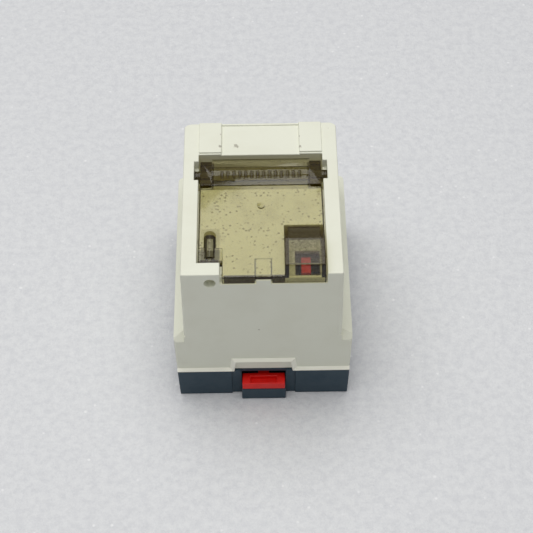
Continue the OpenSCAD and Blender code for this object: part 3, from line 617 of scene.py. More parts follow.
def tube(path: np.ndarray, section: np.ndarray, side: np.ndarray, up: np.ndarray) -> Shell:
    """A closed section carried along a path, with flat ends.

    Point (i, k) is path[i] + section[k].x * side[i] + section[k].y * up[i]; the section runs
    anticlockwise as seen from the path's end, with side x up along the path's direction.

    Args:
        path: Centre points, n by 3.
        section: Section points, m by 2.
        side: Unit vector of the section's x at each centre point.
        up: Unit vector of the section's y at each centre point.

    Returns:
        The closed surface.
    """
    n, m = len(path), len(section)
    points = (path[:, None] + section[None, :, :1] * side[:, None]
              + section[None, :, 1:] * up[:, None]).reshape(-1, 3)
    ends = [np.arange(m - 1, -1, -1)[None], ((n - 1) * m + np.arange(m))[None]]
    return Shell(points, [grid_quads(n, m), *ends])


def turned(profile: np.ndarray, centre: tuple[float, float], steps: int) -> Shell:
    """A profile turned about a vertical line, whose first and last points are on that line.

    Point (i, k) is (r_i cos t_k, r_i sin t_k, z_i), t_k = 2 pi k / steps. The profile runs
    upwards, so that the faces point outwards.

    Args:
        profile: Points (r, z), n by 2.
        centre: The line's x and y.
        steps: Divisions round the line.

    Returns:
        The closed surface.
    """
    inner = profile[1:-1]
    angle = 2 * math.pi * np.arange(steps) / steps
    ring = np.stack([np.cos(angle), np.sin(angle)], -1)
    flat = inner[:, None, :1] * ring[None]
    high = np.broadcast_to(inner[:, None, 1:], (*flat.shape[:2], 1))
    points = np.concatenate([flat, high], -1).reshape(-1, 3)
    poles = np.array([[0, 0, profile[0, 1]], [0, 0, profile[-1, 1]]])
    n = len(inner)
    a = np.arange(steps)
    b = (a + 1) % steps
    low = np.stack([np.full(steps, n * steps), b, a], -1)
    top = np.stack([np.full(steps, n * steps + 1), (n - 1) * steps + a, (n - 1) * steps + b], -1)
    place = np.array([*centre, 0.0])
    return Shell(np.concatenate([points, poles]) + place, [grid_quads(n, steps), low, top])


def ring_of(profile: np.ndarray, centre: tuple[float, float], steps: int,
            wander: np.ndarray | None = None) -> Shell:
    """A closed profile turned about a vertical line that it doesn't touch.

    Point (i, k) is ((r_i + w_ik) cos t_k, (r_i + w_ik) sin t_k, z_i); the profile runs
    anticlockwise in (r, z).

    Args:
        profile: Points (r, z), n by 2.
        centre: The line's x and y.
        steps: Divisions round the line.
        wander: What is added to the radius, n by steps.

    Returns:
        The closed surface.
    """
    n = len(profile)
    angle = 2 * math.pi * np.arange(steps) / steps
    radius = profile[:, :1] + (0.0 if wander is None else wander) * np.ones((n, steps))
    high = np.repeat(profile[:, 1:], steps, 1)
    points = np.stack([centre[0] + radius * np.cos(angle), centre[1] + radius * np.sin(angle),
                       high], -1).reshape(-1, 3)
    return Shell(points, [grid_quads(n, steps, closed=True)])


def mesh_of(name: str, shell: Shell, crisp: float = 40.0) -> bpy.types.Object:
    """An object from a shell, smooth shaded but for edges sharper than crisp degrees."""
    mesh = bpy.data.meshes.new(name)
    mesh.from_pydata(shell.points.tolist(), [],
                     [f for faces in shell.faces for f in faces.tolist()])
    mesh.validate()
    mesh.polygons.foreach_set("use_smooth", np.ones(len(mesh.polygons), bool))
    mesh.set_sharp_from_angle(angle=math.radians(crisp))
    piece = bpy.data.objects.new(name, mesh)
    bpy.context.scene.collection.objects.link(piece)
    return piece


class Softener:
    """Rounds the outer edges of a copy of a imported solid, each as far as its place allows."""

    SHARP = math.radians(28)
    FLAT = math.radians(0.5)
    RUN_ON = math.radians(60)
    STEEP = math.radians(50)
    LEAST = 0.03 * MM
    SHARE = 0.42
    MERGE = 0.015 * MM
    TANGLE = 0.25 * MM

    def __init__(self, node: str, name: str, width: float) -> None:
        """Copies the node's mesh, merges its points, and merges each flat into a few faces."""
        self.name, self.width = name, width
        self.shape = bmesh.new()
        self.shape.from_mesh(frame["nodes"][node].data)
        bmesh.ops.remove_doubles(self.shape, verts=self.shape.verts, dist=self.MERGE)
        for axis, place in self._cuts():
            self._cut(axis, place)
        bmesh.ops.dissolve_limit(self.shape, angle_limit=self.FLAT, use_dissolve_boundaries=False,
                                 verts=self.shape.verts, edges=self.shape.edges,
                                 delimit={"SEAM"})
        for part in (self.shape.verts, self.shape.edges, self.shape.faces):
            part.index_update()
            part.ensure_lookup_table()

    def _flats(self) -> list[list[bmesh.types.BMFace]]:
        """Groups of neighbouring faces that lie in one plane."""
        seen, groups = set(), []
        for start in self.shape.faces:
            if start in seen:
                continue
            seen.add(start)
            group, front = [], [start]
            while front:
                face = front.pop()
                group.append(face)
                for edge in face.edges:
                    for other in edge.link_faces:
                        if other not in seen and other.normal.angle(start.normal, 1.0) < self.FLAT:
                            seen.add(other)
                            front.append(other)
            groups.append(group)
        return groups

    @staticmethod
    def _rims(group: list[bmesh.types.BMFace]) -> list[np.ndarray]:
        """The closed outlines of a flat, as arrays of points: its outer one and its holes.

        The edges are kept in a dict, whose order is the faces' own, so every run gives the same
        cuts. A set of edges would be walked in the order of their places in memory.
        """
        inside = set(group)
        rim = dict.fromkeys(e for f in group for e in f.edges
                            if sum(g in inside for g in e.link_faces) == 1)
        rims = []
        while rim:
            front, points = [rim.popitem()[0]], []
            while front:
                edge = front.pop()
                for vert in edge.verts:
                    points.append(vert.co[:])
                    for other in vert.link_edges:
                        if other in rim:
                            del rim[other]
                            front.append(other)
            rims.append(np.array(points))
        return rims

    def _cuts(self) -> list[tuple[int, float]]:
        """Planes that open every hole in a flat, so that no face has to run round one.

        Returns:
            For each plane its axis, 0 to 2, and its place along it.
        """
        points = np.array([v.co for v in self.shape.verts])
        cuts: list[tuple[int, float]] = []
        for group in self._flats():
            rims = self._rims(group)
            if len(rims) < 2:
                continue
            rims.sort(key=lambda r: -np.prod(np.sort(np.ptp(r, axis=0))[1:]))
            normal = np.abs(np.array(group[0].normal))
            axis = 0 if normal[0] < 0.7 else 1
            for hole in rims[1:]:
                low, high = hole[:, axis].min(), hole[:, axis].max()
                edge = 0.12 * (high - low)
                if any(a == axis and low + edge <= at <= high - edge for a, at in cuts):
                    continue
                cuts.append((axis, self._free_place(points[:, axis], low + edge, high - edge)))
        return cuts

    def _free_place(self, taken: np.ndarray, low: float, high: float) -> float:
        """The place between low and high that other points leave most room round.

        Args:
            taken: The points' places along the axis.
            low: Lowest place allowed.
            high: Highest place allowed.

        Returns:
            The middle, or a point's own place, whichever is furthest from the other points.
        """
        taken = np.unique(taken.round(7))
        tries = np.concatenate([[(low + high) / 2], taken[(taken > low) & (taken < high)]])
        apart = np.abs(tries[:, None] - taken[None])
        room = np.where(apart < 2e-6, np.inf, apart).min(1)
        room[0] *= 1.3 if room[0] > 1e-4 else 1.0
        return float(tries[np.argmax(np.minimum(room, 3 * self.width))])

    def _cut(self, axis: int, place: float) -> None:
        """Cuts every face along the plane and marks the new edges, which stay."""
        normal = Vector((0, 0, 0))
        normal[axis] = 1
        parts = [*self.shape.verts, *self.shape.edges, *self.shape.faces]
        made = bmesh.ops.bisect_plane(self.shape, geom=parts, dist=2e-6,
                                      plane_co=normal * place, plane_no=normal)
        for part in made["geom_cut"]:
            if isinstance(part, bmesh.types.BMEdge):
                part.seam = True

    def widths(self) -> np.ndarray:
        """How wide each edge's rounding is.

        An outer edge sharper than SHARP gets the asked width, held to a share of the way across
        each of its faces and of the plain edges that its ends slide along.

        Returns:
            One width in metres per edge, 0 for an edge that stays as it is.
        """
        edges = self.shape.edges
        outer = np.array([len(e.link_faces) == 2 and e.is_convex
                          and e.calc_face_angle(0.0) > self.SHARP for e in edges])
        width = np.where(outer, self.width, 0.0)
        for face in self.shape.faces:
            ids = np.array([loop.edge.index for loop in face.loops])
            if not outer[ids].any():
                continue
            a = np.array([loop.vert.co for loop in face.loops])
            b = np.roll(a, -1, 0)
            length = np.linalg.norm(b - a, axis=1)
            along = (b - a) / length[:, None]
            inward = np.cross(np.array(face.normal), along)
            middle = (a + b) / 2
            facing = inward @ inward.T < -0.3
            gap = np.full(len(ids), np.inf)
            for p in (a, middle, b):
                to = p[:, None] - a[None]
                t = np.clip((to * along[None]).sum(-1), 0, length[None])
                far = np.linalg.norm(to - t[..., None] * along[None], axis=-1)
                ahead = ((middle[None] - p[:, None]) * inward[:, None]).sum(-1) > 1e-7
                gap = np.minimum(gap, np.where(facing & ahead, far, np.inf).min(1))
            room = self.SHARE * gap
            for step in (1, -1):
                beside = np.roll(ids, -step)
                turn = np.linalg.norm(np.cross(along, np.roll(along, -step, 0)), axis=1)
                slide = 0.7 * np.roll(length, -step) * turn
                room = np.minimum(room, np.where(outer[beside], np.inf, slide))
            width[ids] = np.minimum(width[ids], room)
        width = self._level(width)
        width[width < self.LEAST] = 0.0
        return width

    def _level(self, width: np.ndarray) -> np.ndarray:
        """Gives edges that run on smoothly from one to the next the smaller of their widths."""
        pairs = []
        for vert in self.shape.verts:
            near = [e for e in vert.link_edges if width[e.index] > 0]
            for i, first in enumerate(near):
                for second in near[i + 1:]:
                    one = first.other_vert(vert).co - vert.co
                    two = second.other_vert(vert).co - vert.co
                    if one.angle(-two, 0.0) < self.RUN_ON:
                        pairs.append((first.index, second.index))
        if pairs:
            first, second = np.array(pairs).T
            for _ in range(40):
                least = np.minimum(width[first], width[second])
                np.minimum.at(width, first, least)
                np.minimum.at(width, second, least)
        return width

    @staticmethod
    def _crossings(face: bmesh.types.BMFace) -> list[tuple[list[bmesh.types.BMVert], Vector]]:
        """Places where a face's outline crosses itself.

        The outline is laid in its plane, and every edge is met with every other: two edges cross
        where both shares along them lie between 0 and 1.

        Returns:
            For each crossing the corners of the small loop that it cuts off, and its place.
        """
        corners = list(face.verts)
        points, normal = np.array([v.co for v in corners]), np.array(face.normal)
        side = np.cross(normal, (0, 0, 1) if abs(normal[2]) < 0.9 else (1, 0, 0))
        flat = np.stack([points @ side, points @ np.cross(normal, side)], 1)
        step = np.roll(flat, -1, 0) - flat

        def turn(u: np.ndarray, v: np.ndarray) -> np.ndarray:
            """The cross product of flat vectors."""
            return u[..., 0] * v[..., 1] - u[..., 1] * v[..., 0]

        area = turn(step[:, None], step[None])
        to = flat[None] - flat[:, None]
        with np.errstate(divide="ignore", invalid="ignore"):
            t, u = turn(to, step[None]) / area, turn(to, step[:, None]) / area
        hit = (np.abs(area) > 1e-16) & (np.minimum(t, u) > 1e-6) & (np.maximum(t, u) < 1 - 1e-6)
        count, found = len(corners), []
        for i, j in zip(*np.nonzero(np.triu(hit, 1))):
            run = [*range(i + 1, j + 1)]
            if len(run) > count / 2:
                run = [*range(j + 1, count), *range(i + 1)]
            ahead = np.roll(points, -1, 0)[i]
            found.append(([corners[k] for k in run],
                          Vector(points[i] + t[i, j] * (ahead - points[i]))))
        return found

    def _untangle(self, shape: bmesh.types.BMesh) -> None:
        """Draws each small crossed loop of an outline together into one corner."""
        for _ in range(3):
            moved: dict[bmesh.types.BMVert, bmesh.types.BMVert] = {}
            for face in shape.faces:
                for run, place in self._crossings(face) if len(face.verts) > 6 else ():
                    if len(run) > 5 or any(v in moved or v in moved.values() for v in run):
                        continue
                    if max((v.co - place).length for v in run) > self.TANGLE:
                        continue
                    run[0].co = place
                    moved.update({v: run[0] for v in run[1:]})
            if not moved:
                break
            bmesh.ops.weld_verts(shape, targetmap=moved)
            bmesh.ops.dissolve_degenerate(shape, dist=1e-7, edges=shape.edges)

    def piece(self, segments: int = 3) -> bpy.types.Object:
        """The finished object.

        Args:
            segments: Divisions of each rounding.

        Returns:
            The object, its rounding in its mesh.
        """
        width = self.widths()
        layer = self.shape.edges.layers.float.new("bevel_weight_edge")
        for edge, value in zip(self.shape.edges, width):
            edge[layer] = value / self.width
            sharp = len(edge.link_faces) == 2 and edge.calc_face_angle(0.0) > self.SHARP
            edge.smooth = bool(not sharp or value > 0)
            edge.seam = False
        for face in self.shape.faces:
            face.smooth = True
        mesh = bpy.data.meshes.new(self.name)
        self.shape.to_mesh(mesh)
        self.shape.free()
        piece = bpy.data.objects.new(self.name, mesh)
        bpy.context.scene.collection.objects.link(piece)
        bevel = piece.modifiers.new("rounding", "BEVEL")
        bevel.limit_method = "WEIGHT"
        bevel.width = self.width
        bevel.segments = segments
        bevel.use_clamp_overlap = False
        bevel.miter_outer = "MITER_SHARP"
        rounded = bmesh.new()
        rounded.from_object(piece, bpy.context.evaluated_depsgraph_get())
        piece.modifiers.clear()
        self._untangle(rounded)
        for edge in rounded.edges:
            if len(edge.link_faces) == 2 and edge.calc_face_angle(0.0) > self.STEEP:
                edge.smooth = False
        rounded.to_mesh(mesh)
        rounded.free()
        shading = piece.modifiers.new("shading", "WEIGHTED_NORMAL")
        shading.keep_sharp = True
        shading.weight = 80
        return piece


# --- sub-assemblies ----------------------------------------------------------------------------


class Finishes:
    """Every finish of the relay, made once."""

    def __init__(self) -> None:
        """Builds the materials."""
        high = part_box("housing")[1]
        cover_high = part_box("window_cover")[1]
        cover_back = cover_high.y - 0.1 * MM
        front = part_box("window_cover")[0].y
        tray_low = (-15.7 * MM, front + 1.3 * MM, high.z - 9.2 * MM)
        tray_high = (15.7 * MM, cover_high.y, high.z - 2.3 * MM)
        made: dict[Slot, object] = {
            Slot.IVORY: CasingPlastic(
                "ivory_moulding", (0.79, 0.80, 0.69), (0.72, 0.72, 0.60),
                tray_low=tray_low, tray_high=tray_high,
                # painted shade on the tray's back wall, behind the cover
                back_wall_shade_low=(-15.7 * MM, cover_back, high.z - 9.2 * MM),
                back_wall_shade_high=(15.7 * MM, cover_back + 0.7 * MM, high.z - 0.75 * MM),
                # walls place the painted highlight on the bead round the foot
                walls=(front, high.y - 0.9 * MM), marks=(
                    Mark((-10.3, 15.6, 47.9), 0.55, 0.6), Mark((10.2, 15.2, 47.9), 0.5, 0.6),
                    Mark((-6.2, 16.4, 47.2), 0.75, 0.55), Mark((-10.2, 19.8, 47.9), 0.35, 0.5),
                    Mark((10.0, 18.9, 47.9), 0.3, 0.5), Mark((-1.0, -26.8, 26.0), 0.28, 0.4))),
            Slot.SLATE: MouldedPlastic(
                "slate_moulding", (0.018, 0.045, 0.069), (0.028, 0.056, 0.080), 0.46,
                speck=0.03, speck_colour=(0.16, 0.17, 0.17)),
            Slot.RED: MouldedPlastic(
                "red_moulding", (0.80, 0.007, 0.003), (0.64, 0.005, 0.003), 0.42, coat=0.06,
                speck=0.01, speck_colour=(0.2, 0.01, 0.01)),
            Slot.SMOKED: self.cover_acrylic(),
            Slot.GREY: MouldedPlastic(
                "grey_moulding", (0.10, 0.102, 0.105), (0.14, 0.14, 0.14), 0.5,
                speck_colour=(0.3, 0.3, 0.28)),
            Slot.BUFF: MouldedPlastic(
                "buff_moulding", (0.62, 0.54, 0.38), (0.50, 0.42, 0.27), 0.4),
            Slot.IRON: SheetMetal(
                "zinc_plated_iron", (0.56, 0.56, 0.55), (0.42, 0.40, 0.35), 0.34),
            Slot.SPRING: SheetMetal(
                "drawn_spring_wire", (0.46, 0.46, 0.47), (0.30, 0.29, 0.28), 0.24,
                run=(1.0, 1.0, 1.0)),
            Slot.BRIGHT: SheetMetal(
                "bright_plating", (0.68, 0.68, 0.69), (0.5, 0.49, 0.46), 0.2, 0.3),
            Slot.COPPER: SheetMetal(
                "enamelled_copper", (0.70, 0.27, 0.10), (0.46, 0.15, 0.06), 0.26, 0.6,
                run=(8.0, 8.0, 1.0), coat=0.7),
            Slot.BRONZE: SheetMetal(
                "leaf_bronze_strip", (0.72, 0.46, 0.24), (0.48, 0.28, 0.14), 0.26,
                run=(1.0, 12.0, 1.0)),
            Slot.BRASS: SheetMetal(
                "brass_strip_metal", (0.78, 0.60, 0.28), (0.50, 0.36, 0.16), 0.28),
            Slot.SILVER: SheetMetal(
                "contact_silver_metal", (0.80, 0.79, 0.76), (0.44, 0.42, 0.38), 0.22, 0.35),
            Slot.AMBER: AmberTape("amber_film", (0.60, 0.34, 0.07)),
        }
        self.by_slot = {slot: finish.make() for slot, finish in made.items()}

    @staticmethod
    def cover_acrylic() -> SmokedAcrylic:
        """The cover's smoked acrylic, its parts of dust and painted shade placed from the hinge and
        the front.
        """
        _, y, z = joint_of("cover_hinge")["pos_m"]
        low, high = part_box("window_cover")
        bubble_rise = 4.2 * MM
        front, top = low.y, high.z - bubble_rise

        def box(x0: float, y0: float, z0: float, x1: float, y1: float, z1: float,
                share: float, patch: float = 1.2) -> DustAndShadeFilm:
            """A part under the film from its corners in mm, y from the front and z from the plate.
            """
            return DustAndShadeFilm((x0 * MM, front + y0 * MM, top + z0 * MM),
                          (x1 * MM, front + y1 * MM, top + z1 * MM), share, patch * MM)

        back = (y - front) / MM
        return SmokedAcrylic(
            "smoked_acrylic", (0.625, 0.58, 0.20), 770.0, (0.96, 0.96, 0.96),
            (0.026, 0.014, 0.003), (
                # front lip: painted shade, where the thick lip looks dark
                box(-9.0, -0.2, -2.7, 5.4, 1.05, -0.3, 0.75, 0.5),
                # bubble: its sloping back, its top and its front under dust, and its left wall with
                # painted shade where the thick wall looks dark
                box(5.4, 8.5, 0.3, 15.4, 16.7, 4.4, 0.8, 0.5),
                box(5.4, -0.2, 3.9, 15.4, 8.5, 4.4, 0.62, 0.8),
                box(5.4, -0.2, 0.3, 15.4, 0.3, 3.9, 0.42, 0.8),
                box(5.4, 0.3, 0.3, 5.75, 8.5, 4.4, 0.7, 0.8),
                # edges of the cover along both sides and round the corner block: painted shade
                # where the thick edges look dark
                box(-15.9, 4.3, -1.6, -15.25, back - 5.2, 0.1, 0.85, 0.5),
                box(15.25, -0.2, -2.7, 15.9, back - 5.2, 4.3, 0.85, 0.5),
                box(-15.9, 3.8, -1.6, -10.2, 4.8, 0.5, 0.75, 0.5),
                box(-10.6, -0.2, -2.7, -9.6, 4.8, 0.5, 0.75, 0.5),
                # the two hinge blocks, the barrel between them and the seal hood
                *(box(x, back - 5.2, -4.5, x + 6.5, back + 3.6, 0.7, 0.46) for x in (-18.5, 12.0)),
                box(-12.0, back - 2.7, -4.5, 12.0, back + 3.6, 1.0, 0.05),
                box(-14.6, 3.9, 0.12, -10.4, 15.2, 1.2, 0.4, 0.5)),
            ((-10.4 * MM, y - 2.3 * MM, z + 0.9 * MM), (10.4 * MM, y - 0.3 * MM, z + 2.7 * MM)))

    def dress(self, piece: bpy.types.Object, slot: Slot, body: str, *nodes: str) -> None:
        """Gives a piece its finish and body, and says what it stands for.

        Args:
            piece: The finished piece.
            slot: The record's slot it takes its finish from.
            body: The CAD body it rides on.
            nodes: The CAD nodes it replaces.
        """
        piece.data.materials.clear()
        piece.data.materials.append(self.by_slot[slot])
        if nodes:
            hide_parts(*nodes)
        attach(piece, body)
        log.info("%s rides on %s and stands for %s", piece.name, body, ", ".join(nodes) or "-")


@dataclass
class Enclosure:
    """Casing, base, release latch, window cover and flag, with rounded moulded edges."""

    finishes: Finishes
    casing_round: float = 0.26 * MM
    base_round: float = 0.26 * MM
    latch_round: float = 0.22 * MM
    cover_round: float = 0.22 * MM
    flag_round: float = 0.15 * MM

    def build(self) -> None:
        """Builds and dresses the five mouldings."""
        parts = (
            ("housing", "casing_shell", self.casing_round, Slot.IVORY, "casing"),
            ("base", "plug_base", self.base_round, Slot.SLATE, "casing"),
            ("release_latch", "latch_slide", self.latch_round, Slot.RED, "latch"),
            ("window_cover", "smoked_cover", self.cover_round, Slot.SMOKED, "cover"),
            ("indicator_flag", "flag_cap", self.flag_round, Slot.RED, "card"),
        )
        for node, name, width, slot, body in parts:
            self.finishes.dress(Softener(node, name, width).piece(), slot, body, node)


@dataclass
class Springs:
    """The latch spring and the armature spring: round wire with closed end turns."""

    finishes: Finishes
    steps: int = 36
    sides: int = 12
    closing: float = 0.055

    def coil(self, length: float, radius: float, wire: float, turns: int) -> Shell:
        """A compression spring standing on z = 0.

        The centre line is (r cos a, r sin a, h (t - closing sin 2 pi t)), a = 2 pi turns t, so
        the pitch closes up at both ends.

        Args:
            length: Overall length.
            radius: Radius of the centre line.
            wire: Radius of the wire.
            turns: Number of turns.

        Returns:
            The closed surface.
        """
        t = np.linspace(0, 1, turns * self.steps + 1)
        angle = 2 * math.pi * turns * t
        rise = (length - 2 * wire) * (t - self.closing * np.sin(2 * math.pi * t)) + wire
        out = np.stack([np.cos(angle), np.sin(angle), 0 * t], -1)
        path = radius * out + np.stack([0 * t, 0 * t, rise], -1)
        around = 2 * math.pi * np.arange(self.sides) / self.sides
        section = wire * np.stack([np.cos(around), -np.sin(around)], -1)
        up = np.tile([0.0, 0.0, 1.0], (len(t), 1))
        return tube(path, section, out, up)

    def build(self) -> None:
        """Builds both springs."""
        low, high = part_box("armature_spring")
        wire = 0.22 * MM
        shell = self.coil(high.z - low.z, (high.x - low.x) / 2 - wire, wire, 7)
        shell.points += np.array([(low.x + high.x) / 2, (low.y + high.y) / 2, low.z])
        piece = mesh_of("return_spring", shell)
        self.finishes.dress(piece, Slot.SPRING, "casing", "armature_spring")
        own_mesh(piece)

        low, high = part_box("latch_spring")
        wire = 0.16 * MM
        shell = self.coil(high.y - low.y, (high.x - low.x) / 2 - wire, wire, 6)
        shell.points = shell.points[:, [0, 2, 1]] * np.array([1.0, 1.0, -1.0])
        shell.points += np.array([(low.x + high.x) / 2, low.y, (low.z + high.z) / 2])
        piece = mesh_of("latch_return_spring", shell)
        self.finishes.dress(piece, Slot.SPRING, "casing", "latch_spring")
        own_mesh(piece)


@dataclass
class Electromagnet:
    """Yoke, core, armature, pin, bobbin, screws, the wound coil, its tape and its two leads."""

    finishes: Finishes
    wire_pitch: float = 0.38 * MM
    around: int = 96
    tape_rows: int = 25
    lead_steps: int = 40
    lead_sides: int = 14

    def winding(self) -> bpy.types.Object:
        """The coil: neat turns whose radius is R - d (1 - sqrt(1 - s^2)), s across each turn.

        Returns:
            The wound coil.
        """
        low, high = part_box("winding")
        centre = ((low.x + high.x) / 2, (low.y + high.y) / 2)
        outer = (high.x - low.x) / 2
        core_low, core_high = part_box("core")
        inner = (core_high.x - core_low.x) / 2 + 0.05 * MM
        turns = round((high.z - low.z) / self.wire_pitch)
        across = np.tile(np.linspace(-0.9, 0.9, 5), turns)
        turn = np.repeat(np.arange(turns), 5)
        z = low.z + (turn + 0.5 + across / 2) * (high.z - low.z) / turns
        r = outer - 0.4 * self.wire_pitch * (1 - np.sqrt(1 - across ** 2))
        side = np.stack([r, z], -1)
        ends = np.array([[inner, high.z], [inner, low.z]])
        profile = np.concatenate([side, ends])
        angle = 2 * math.pi * np.arange(self.around) / self.around
        sway = 0.03 * MM * (np.sin(2.0 * turn)[:, None] * np.cos(3 * angle)[None] - 1)
        wander = np.concatenate([sway, np.zeros((2, self.around))])
        return mesh_of("wound_coil", ring_of(profile, centre, self.around, wander), 60.0)

    def tape(self) -> bpy.types.Object:
        """The tape: a thin sleeve with a raised lap where its end comes over its start.

        Returns:
            The tape.
        """
        low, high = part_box("coil_wrap")
        centre = ((low.x + high.x) / 2, (low.y + high.y) / 2)
        outer, thick = (high.x - low.x) / 2, 0.12 * MM
        rows = self.tape_rows
        z = np.linspace(low.z, high.z, rows)
        wall = np.stack([np.full(rows, outer), z], -1)
        profile = np.concatenate([wall, np.stack([np.full(rows, outer - 0.2 * MM), z[::-1]], -1)])
        angle = 2 * math.pi * np.arange(self.around) / self.around
        lap = np.clip((angle - 0.9) / 0.05, 0, 1) * np.clip((2.1 - angle) / 0.05, 0, 1)
        crease = 0.012 * MM * np.sin(5 * angle[None] + 900 * z[:, None])
        wander = np.concatenate([(lap[None] - 1) * 0.5 * thick + crease - 0.012 * MM,
                                 np.zeros((rows, self.around))])
        return mesh_of("coil_tape", ring_of(profile, centre, self.around, wander))

    def lead(self, side: str) -> bpy.types.Object:
        """A coil lead: round wire from the bobbin's post to its terminal, with a bend near its
        start.

        Args:
            side: left or right.

        Returns:
            The lead.
        """
        low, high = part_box(f"coil_lead_{side}")
        away = -1.0 if side == "left" else 1.0
        near = high.x if side == "left" else low.x
        far = low.x if side == "left" else high.x
        radius = (high.y - low.y) / 2
        mid_y = (low.y + high.y) / 2
        t = np.linspace(0, 1, self.lead_steps)
        x = near + away * radius + (far - near - away * radius) * t
        bend = np.clip(1 - t / 0.3, 0, 1) ** 2
        z = low.z + radius + bend * (high.z - low.z - 2 * radius)
        path = np.stack([x, np.full(self.lead_steps, mid_y), z], -1)
        along = np.gradient(path, axis=0)
        along /= np.linalg.norm(along, axis=1)[:, None]
        side_way = np.tile([0.0, 1.0, 0.0], (self.lead_steps, 1))
        up = np.cross(along, side_way)
        around = 2 * math.pi * np.arange(self.lead_sides) / self.lead_sides
        section = 0.86 * radius * np.stack([np.cos(around), np.sin(around)], -1)
        return mesh_of(f"lead_wire_{side}", tube(path, section, side_way, up))

    def build(self) -> None:
        """Builds and dresses the electromagnet."""
        dress = self.finishes.dress
        parts = (
            ("yoke", "yoke_frame", 0.15, Slot.IRON, "casing"),
            ("core", "core_pole", 0.2, Slot.IRON, "casing"),
            ("armature", "armature_plate", 0.25, Slot.IRON, "armature"),
            ("armature_pin", "pivot_pin", 0.2, Slot.BRIGHT, "casing"),
            ("bobbin", "bobbin_spool", 0.25, Slot.BUFF, "casing"),
            ("yoke_screws", "yoke_screw_pair", 0.15, Slot.BRIGHT, "casing"),
        )
        for node, name, width, slot, body in parts:
            dress(Softener(node, name, width * MM).piece(), slot, body, node)
        dress(self.winding(), Slot.COPPER, "casing", "winding")
        dress(self.tape(), Slot.AMBER, "casing", "coil_wrap")
        for side in ("left", "right"):
            dress(self.lead(side), Slot.COPPER, "casing", f"coil_lead_{side}")


@dataclass
class Contacts:
    """The contact block, card, leaves, terminals and rivets."""

    finishes: Finishes
    poles: int = 4
    shank: float = 0.6 * MM
    head_zone: float = 0.6 * MM

    def rivets(self, node: str, name: str, domed: tuple[bool, bool]) -> bpy.types.Object:
        """The rivets of one row, each a turned profile with crowned or flat heads.

        A crowned head of radius a and height h has the profile z = h (1 - (r / a)^2)^(1/2)
        flattened to its upper third.

        Args:
            node: The CAD node with the row.
            name: The piece's name.
            domed: Whether the lower and the upper head are crowned.

        Returns:
            The row of rivets.
        """
        points = np.array([v.co for v in frame["nodes"][node].data.vertices])
        shells = []
        low_z, high_z = points[:, 2].min(), points[:, 2].max()
        for centre in self._centres(points):
            near = points[np.hypot(*(points[:, :2] - centre).T) < 2 * MM]
            r = np.hypot(*(near[:, :2] - centre).T)
            head = r > self.shank * 1.2
            edge_low = near[head & (near[:, 2] < low_z + self.head_zone)]
            edge_high = near[head & (near[:, 2] > high_z - self.head_zone)]
            shells.append(turned(self._profile(edge_low, edge_high, centre, low_z, high_z,
                                               self.shank, domed), tuple(centre), 32))
        return mesh_of(name, Shell.join(shells), 50.0)

    @staticmethod
    def _centres(points: np.ndarray) -> list[np.ndarray]:
        """The rivets' middles, from the gaps between the points along x."""
        x = np.sort(points[:, 0])
        cuts = np.flatnonzero(np.diff(x) > 1 * MM)
        groups = np.split(x, cuts + 1)
        mid_y = (points[:, 1].min() + points[:, 1].max()) / 2
        return [np.array([(g[0] + g[-1]) / 2, mid_y]) for g in groups]

    @staticmethod
    def _profile(low: np.ndarray, high: np.ndarray, centre: np.ndarray, z0: float, z1: float,
                 shank: float, domed: tuple[bool, bool]) -> np.ndarray:
        """Profile (r, z) of a rivet from its lower pole to its upper pole."""
        def head(edge: np.ndarray) -> tuple[float, float, float]:
            """Radius and the two heights of a head."""
            radius = np.hypot(*(edge[:, :2] - centre).T).max()
            return radius, edge[:, 2].min(), edge[:, 2].max()

        r_low, a0, a1 = head(low)
        r_high, b0, b1 = head(high)
        s = np.linspace(0, 1, 9)
        crown_low = 0.35 * (a1 - a0) if domed[0] else 0.08 * (a1 - a0)
        crown_high = 0.35 * (b1 - b0) if domed[1] else 0.08 * (b1 - b0)
        first = np.stack([r_low * s, z0 + crown_low * (1 - np.sqrt(1 - s ** 2 * 0.999))], -1)
        last = np.stack([r_high * s[::-1],
                         z1 - crown_high * (1 - np.sqrt(1 - s[::-1] ** 2 * 0.999))], -1)
        neck = np.array([[r_low, a1], [shank, a1], [shank, b0], [r_high, b0]])
        return np.concatenate([first, neck, last])

    def build(self) -> None:
        """Builds and dresses the contact set."""
        dress = self.finishes.dress
        for node, name, width, slot, body in (
                ("contact_block", "barrier_block", 0.2, Slot.GREY, "casing"),
                ("actuator_card", "push_card", 0.2, Slot.BUFF, "card"),
                ("coil_terminal_left", "coil_blade_left", 0.12, Slot.BRASS, "casing"),
                ("coil_terminal_right", "coil_blade_right", 0.12, Slot.BRASS, "casing")):
            dress(Softener(node, name, width * MM).piece(), slot, body, node)
        for n in range(1, self.poles + 1):
            for kind in ("common", "closed", "open"):
                node = f"{kind}_terminal_{n}"
                piece = Softener(node, f"{kind}_blade_{n}", 0.12 * MM).piece(2)
                dress(piece, Slot.BRASS, "casing", node)
            leaf = Softener(f"moving_leaf_{n}", f"spring_leaf_{n}", 0.06 * MM).piece(2)
            dress(leaf, Slot.BRONZE, "leaves", f"moving_leaf_{n}")
        for node, name, domed, body in (
                ("moving_rivets", "leaf_contacts", (True, True), "leaves"),
                ("leaf_rivets", "root_rivets", (True, True), "casing"),
                ("closed_rivets", "upper_contacts", (False, True), "casing"),
                ("open_rivets", "lower_contacts", (True, False), "casing")):
            dress(self.rivets(node, name, domed), Slot.SILVER, body, node)


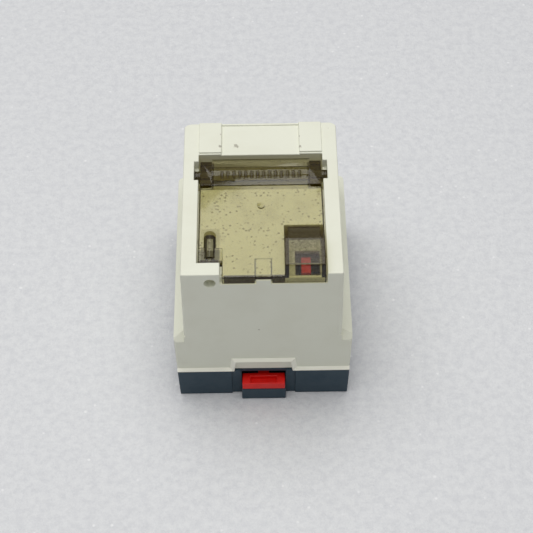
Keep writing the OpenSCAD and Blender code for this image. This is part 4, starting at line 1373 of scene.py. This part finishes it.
@dataclass
class Studio:
    """The plain pale floor, the soft light and the camera."""

    lens: float = 104.15
    sensor: float = 36.0
    camera_at: Colour = (0.74 * MM, -260.97 * MM, 330.7 * MM)
    elevation: float = math.radians(50.12)
    yaw: float = math.radians(0.09)
    roll: float = math.radians(-0.75)
    floor_half: float = 1.6

    def floor(self) -> None:
        """A flat floor whose top is at z = 0."""
        half = self.floor_half
        points = np.array([[-half, -half, 0], [half, -half, 0], [half, half, 0], [-half, half, 0]])
        piece = mesh_of("floor", Shell(points, [np.array([[0, 1, 2, 3]])]))
        piece.data.materials.append(StoneFloor().make())

    def camera(self) -> None:
        """The camera, turned by yaw, elevation and roll."""
        e, a, c = self.elevation, self.yaw, self.roll
        forward = Vector((math.sin(a) * math.cos(e), math.cos(a) * math.cos(e), -math.sin(e)))
        right = Vector((math.cos(a), -math.sin(a), 0))
        up = right.cross(forward)
        x = math.cos(c) * right + math.sin(c) * up
        y = -math.sin(c) * right + math.cos(c) * up
        turn = Matrix((x, y, -forward)).transposed().to_4x4()
        data = bpy.data.cameras.new("view")
        data.lens, data.sensor_width, data.sensor_fit = self.lens, self.sensor, "HORIZONTAL"
        data.clip_start, data.clip_end = 0.01, 20.0
        camera = bpy.data.objects.new("view", data)
        camera.matrix_world = Matrix.Translation(self.camera_at) @ turn
        bpy.context.scene.collection.objects.link(camera)
        bpy.context.scene.camera = camera

    @staticmethod
    def lamp(name: str, at: Colour, size: float, watts: float, colour: Colour) -> None:
        """A square area lamp that looks at the relay.

        Args:
            name: Its name.
            at: Its place in metres.
            size: Its side in metres.
            watts: Its power.
            colour: Its colour.
        """
        data = bpy.data.lights.new(name, "AREA")
        data.size, data.energy, data.color = size, watts, colour
        lamp = bpy.data.objects.new(name, data)
        lamp.location = at
        look = Vector((0, 0, 0.03)) - Vector(at)
        lamp.rotation_euler = look.to_track_quat("-Z", "Y").to_euler()
        bpy.context.scene.collection.objects.link(lamp)

    def build(self) -> None:
        """Sets up the floor, the camera and the light."""
        self.floor()
        self.camera()
        self.lamp("overhead", (-0.10, 0.14, 1.06), 1.1, 10.2, (1.0, 0.995, 0.97))
        self.lamp("front_fill", (0.3, -0.9, 0.7), 0.8, 0.75, (1.0, 0.98, 0.93))
        world = bpy.data.worlds.new("room")
        world.use_nodes = True
        sky = world.node_tree.nodes["Background"]
        sky.inputs["Color"].default_value = (0.98, 0.98, 0.98, 1.0)
        sky.inputs["Strength"].default_value = 0.265
        bpy.context.scene.world = world
        bpy.context.scene.view_settings.view_transform = "Standard"


def main() -> None:
    """Builds the studio and every sub-assembly."""
    logging.basicConfig(level=logging.INFO, format="%(name)s: %(message)s")
    Studio().build()
    finishes = Finishes()
    for part in (Enclosure(finishes), Springs(finishes), Electromagnet(finishes),
                 Contacts(finishes)):
        part.build()


if __name__ == "__main__":
    main()
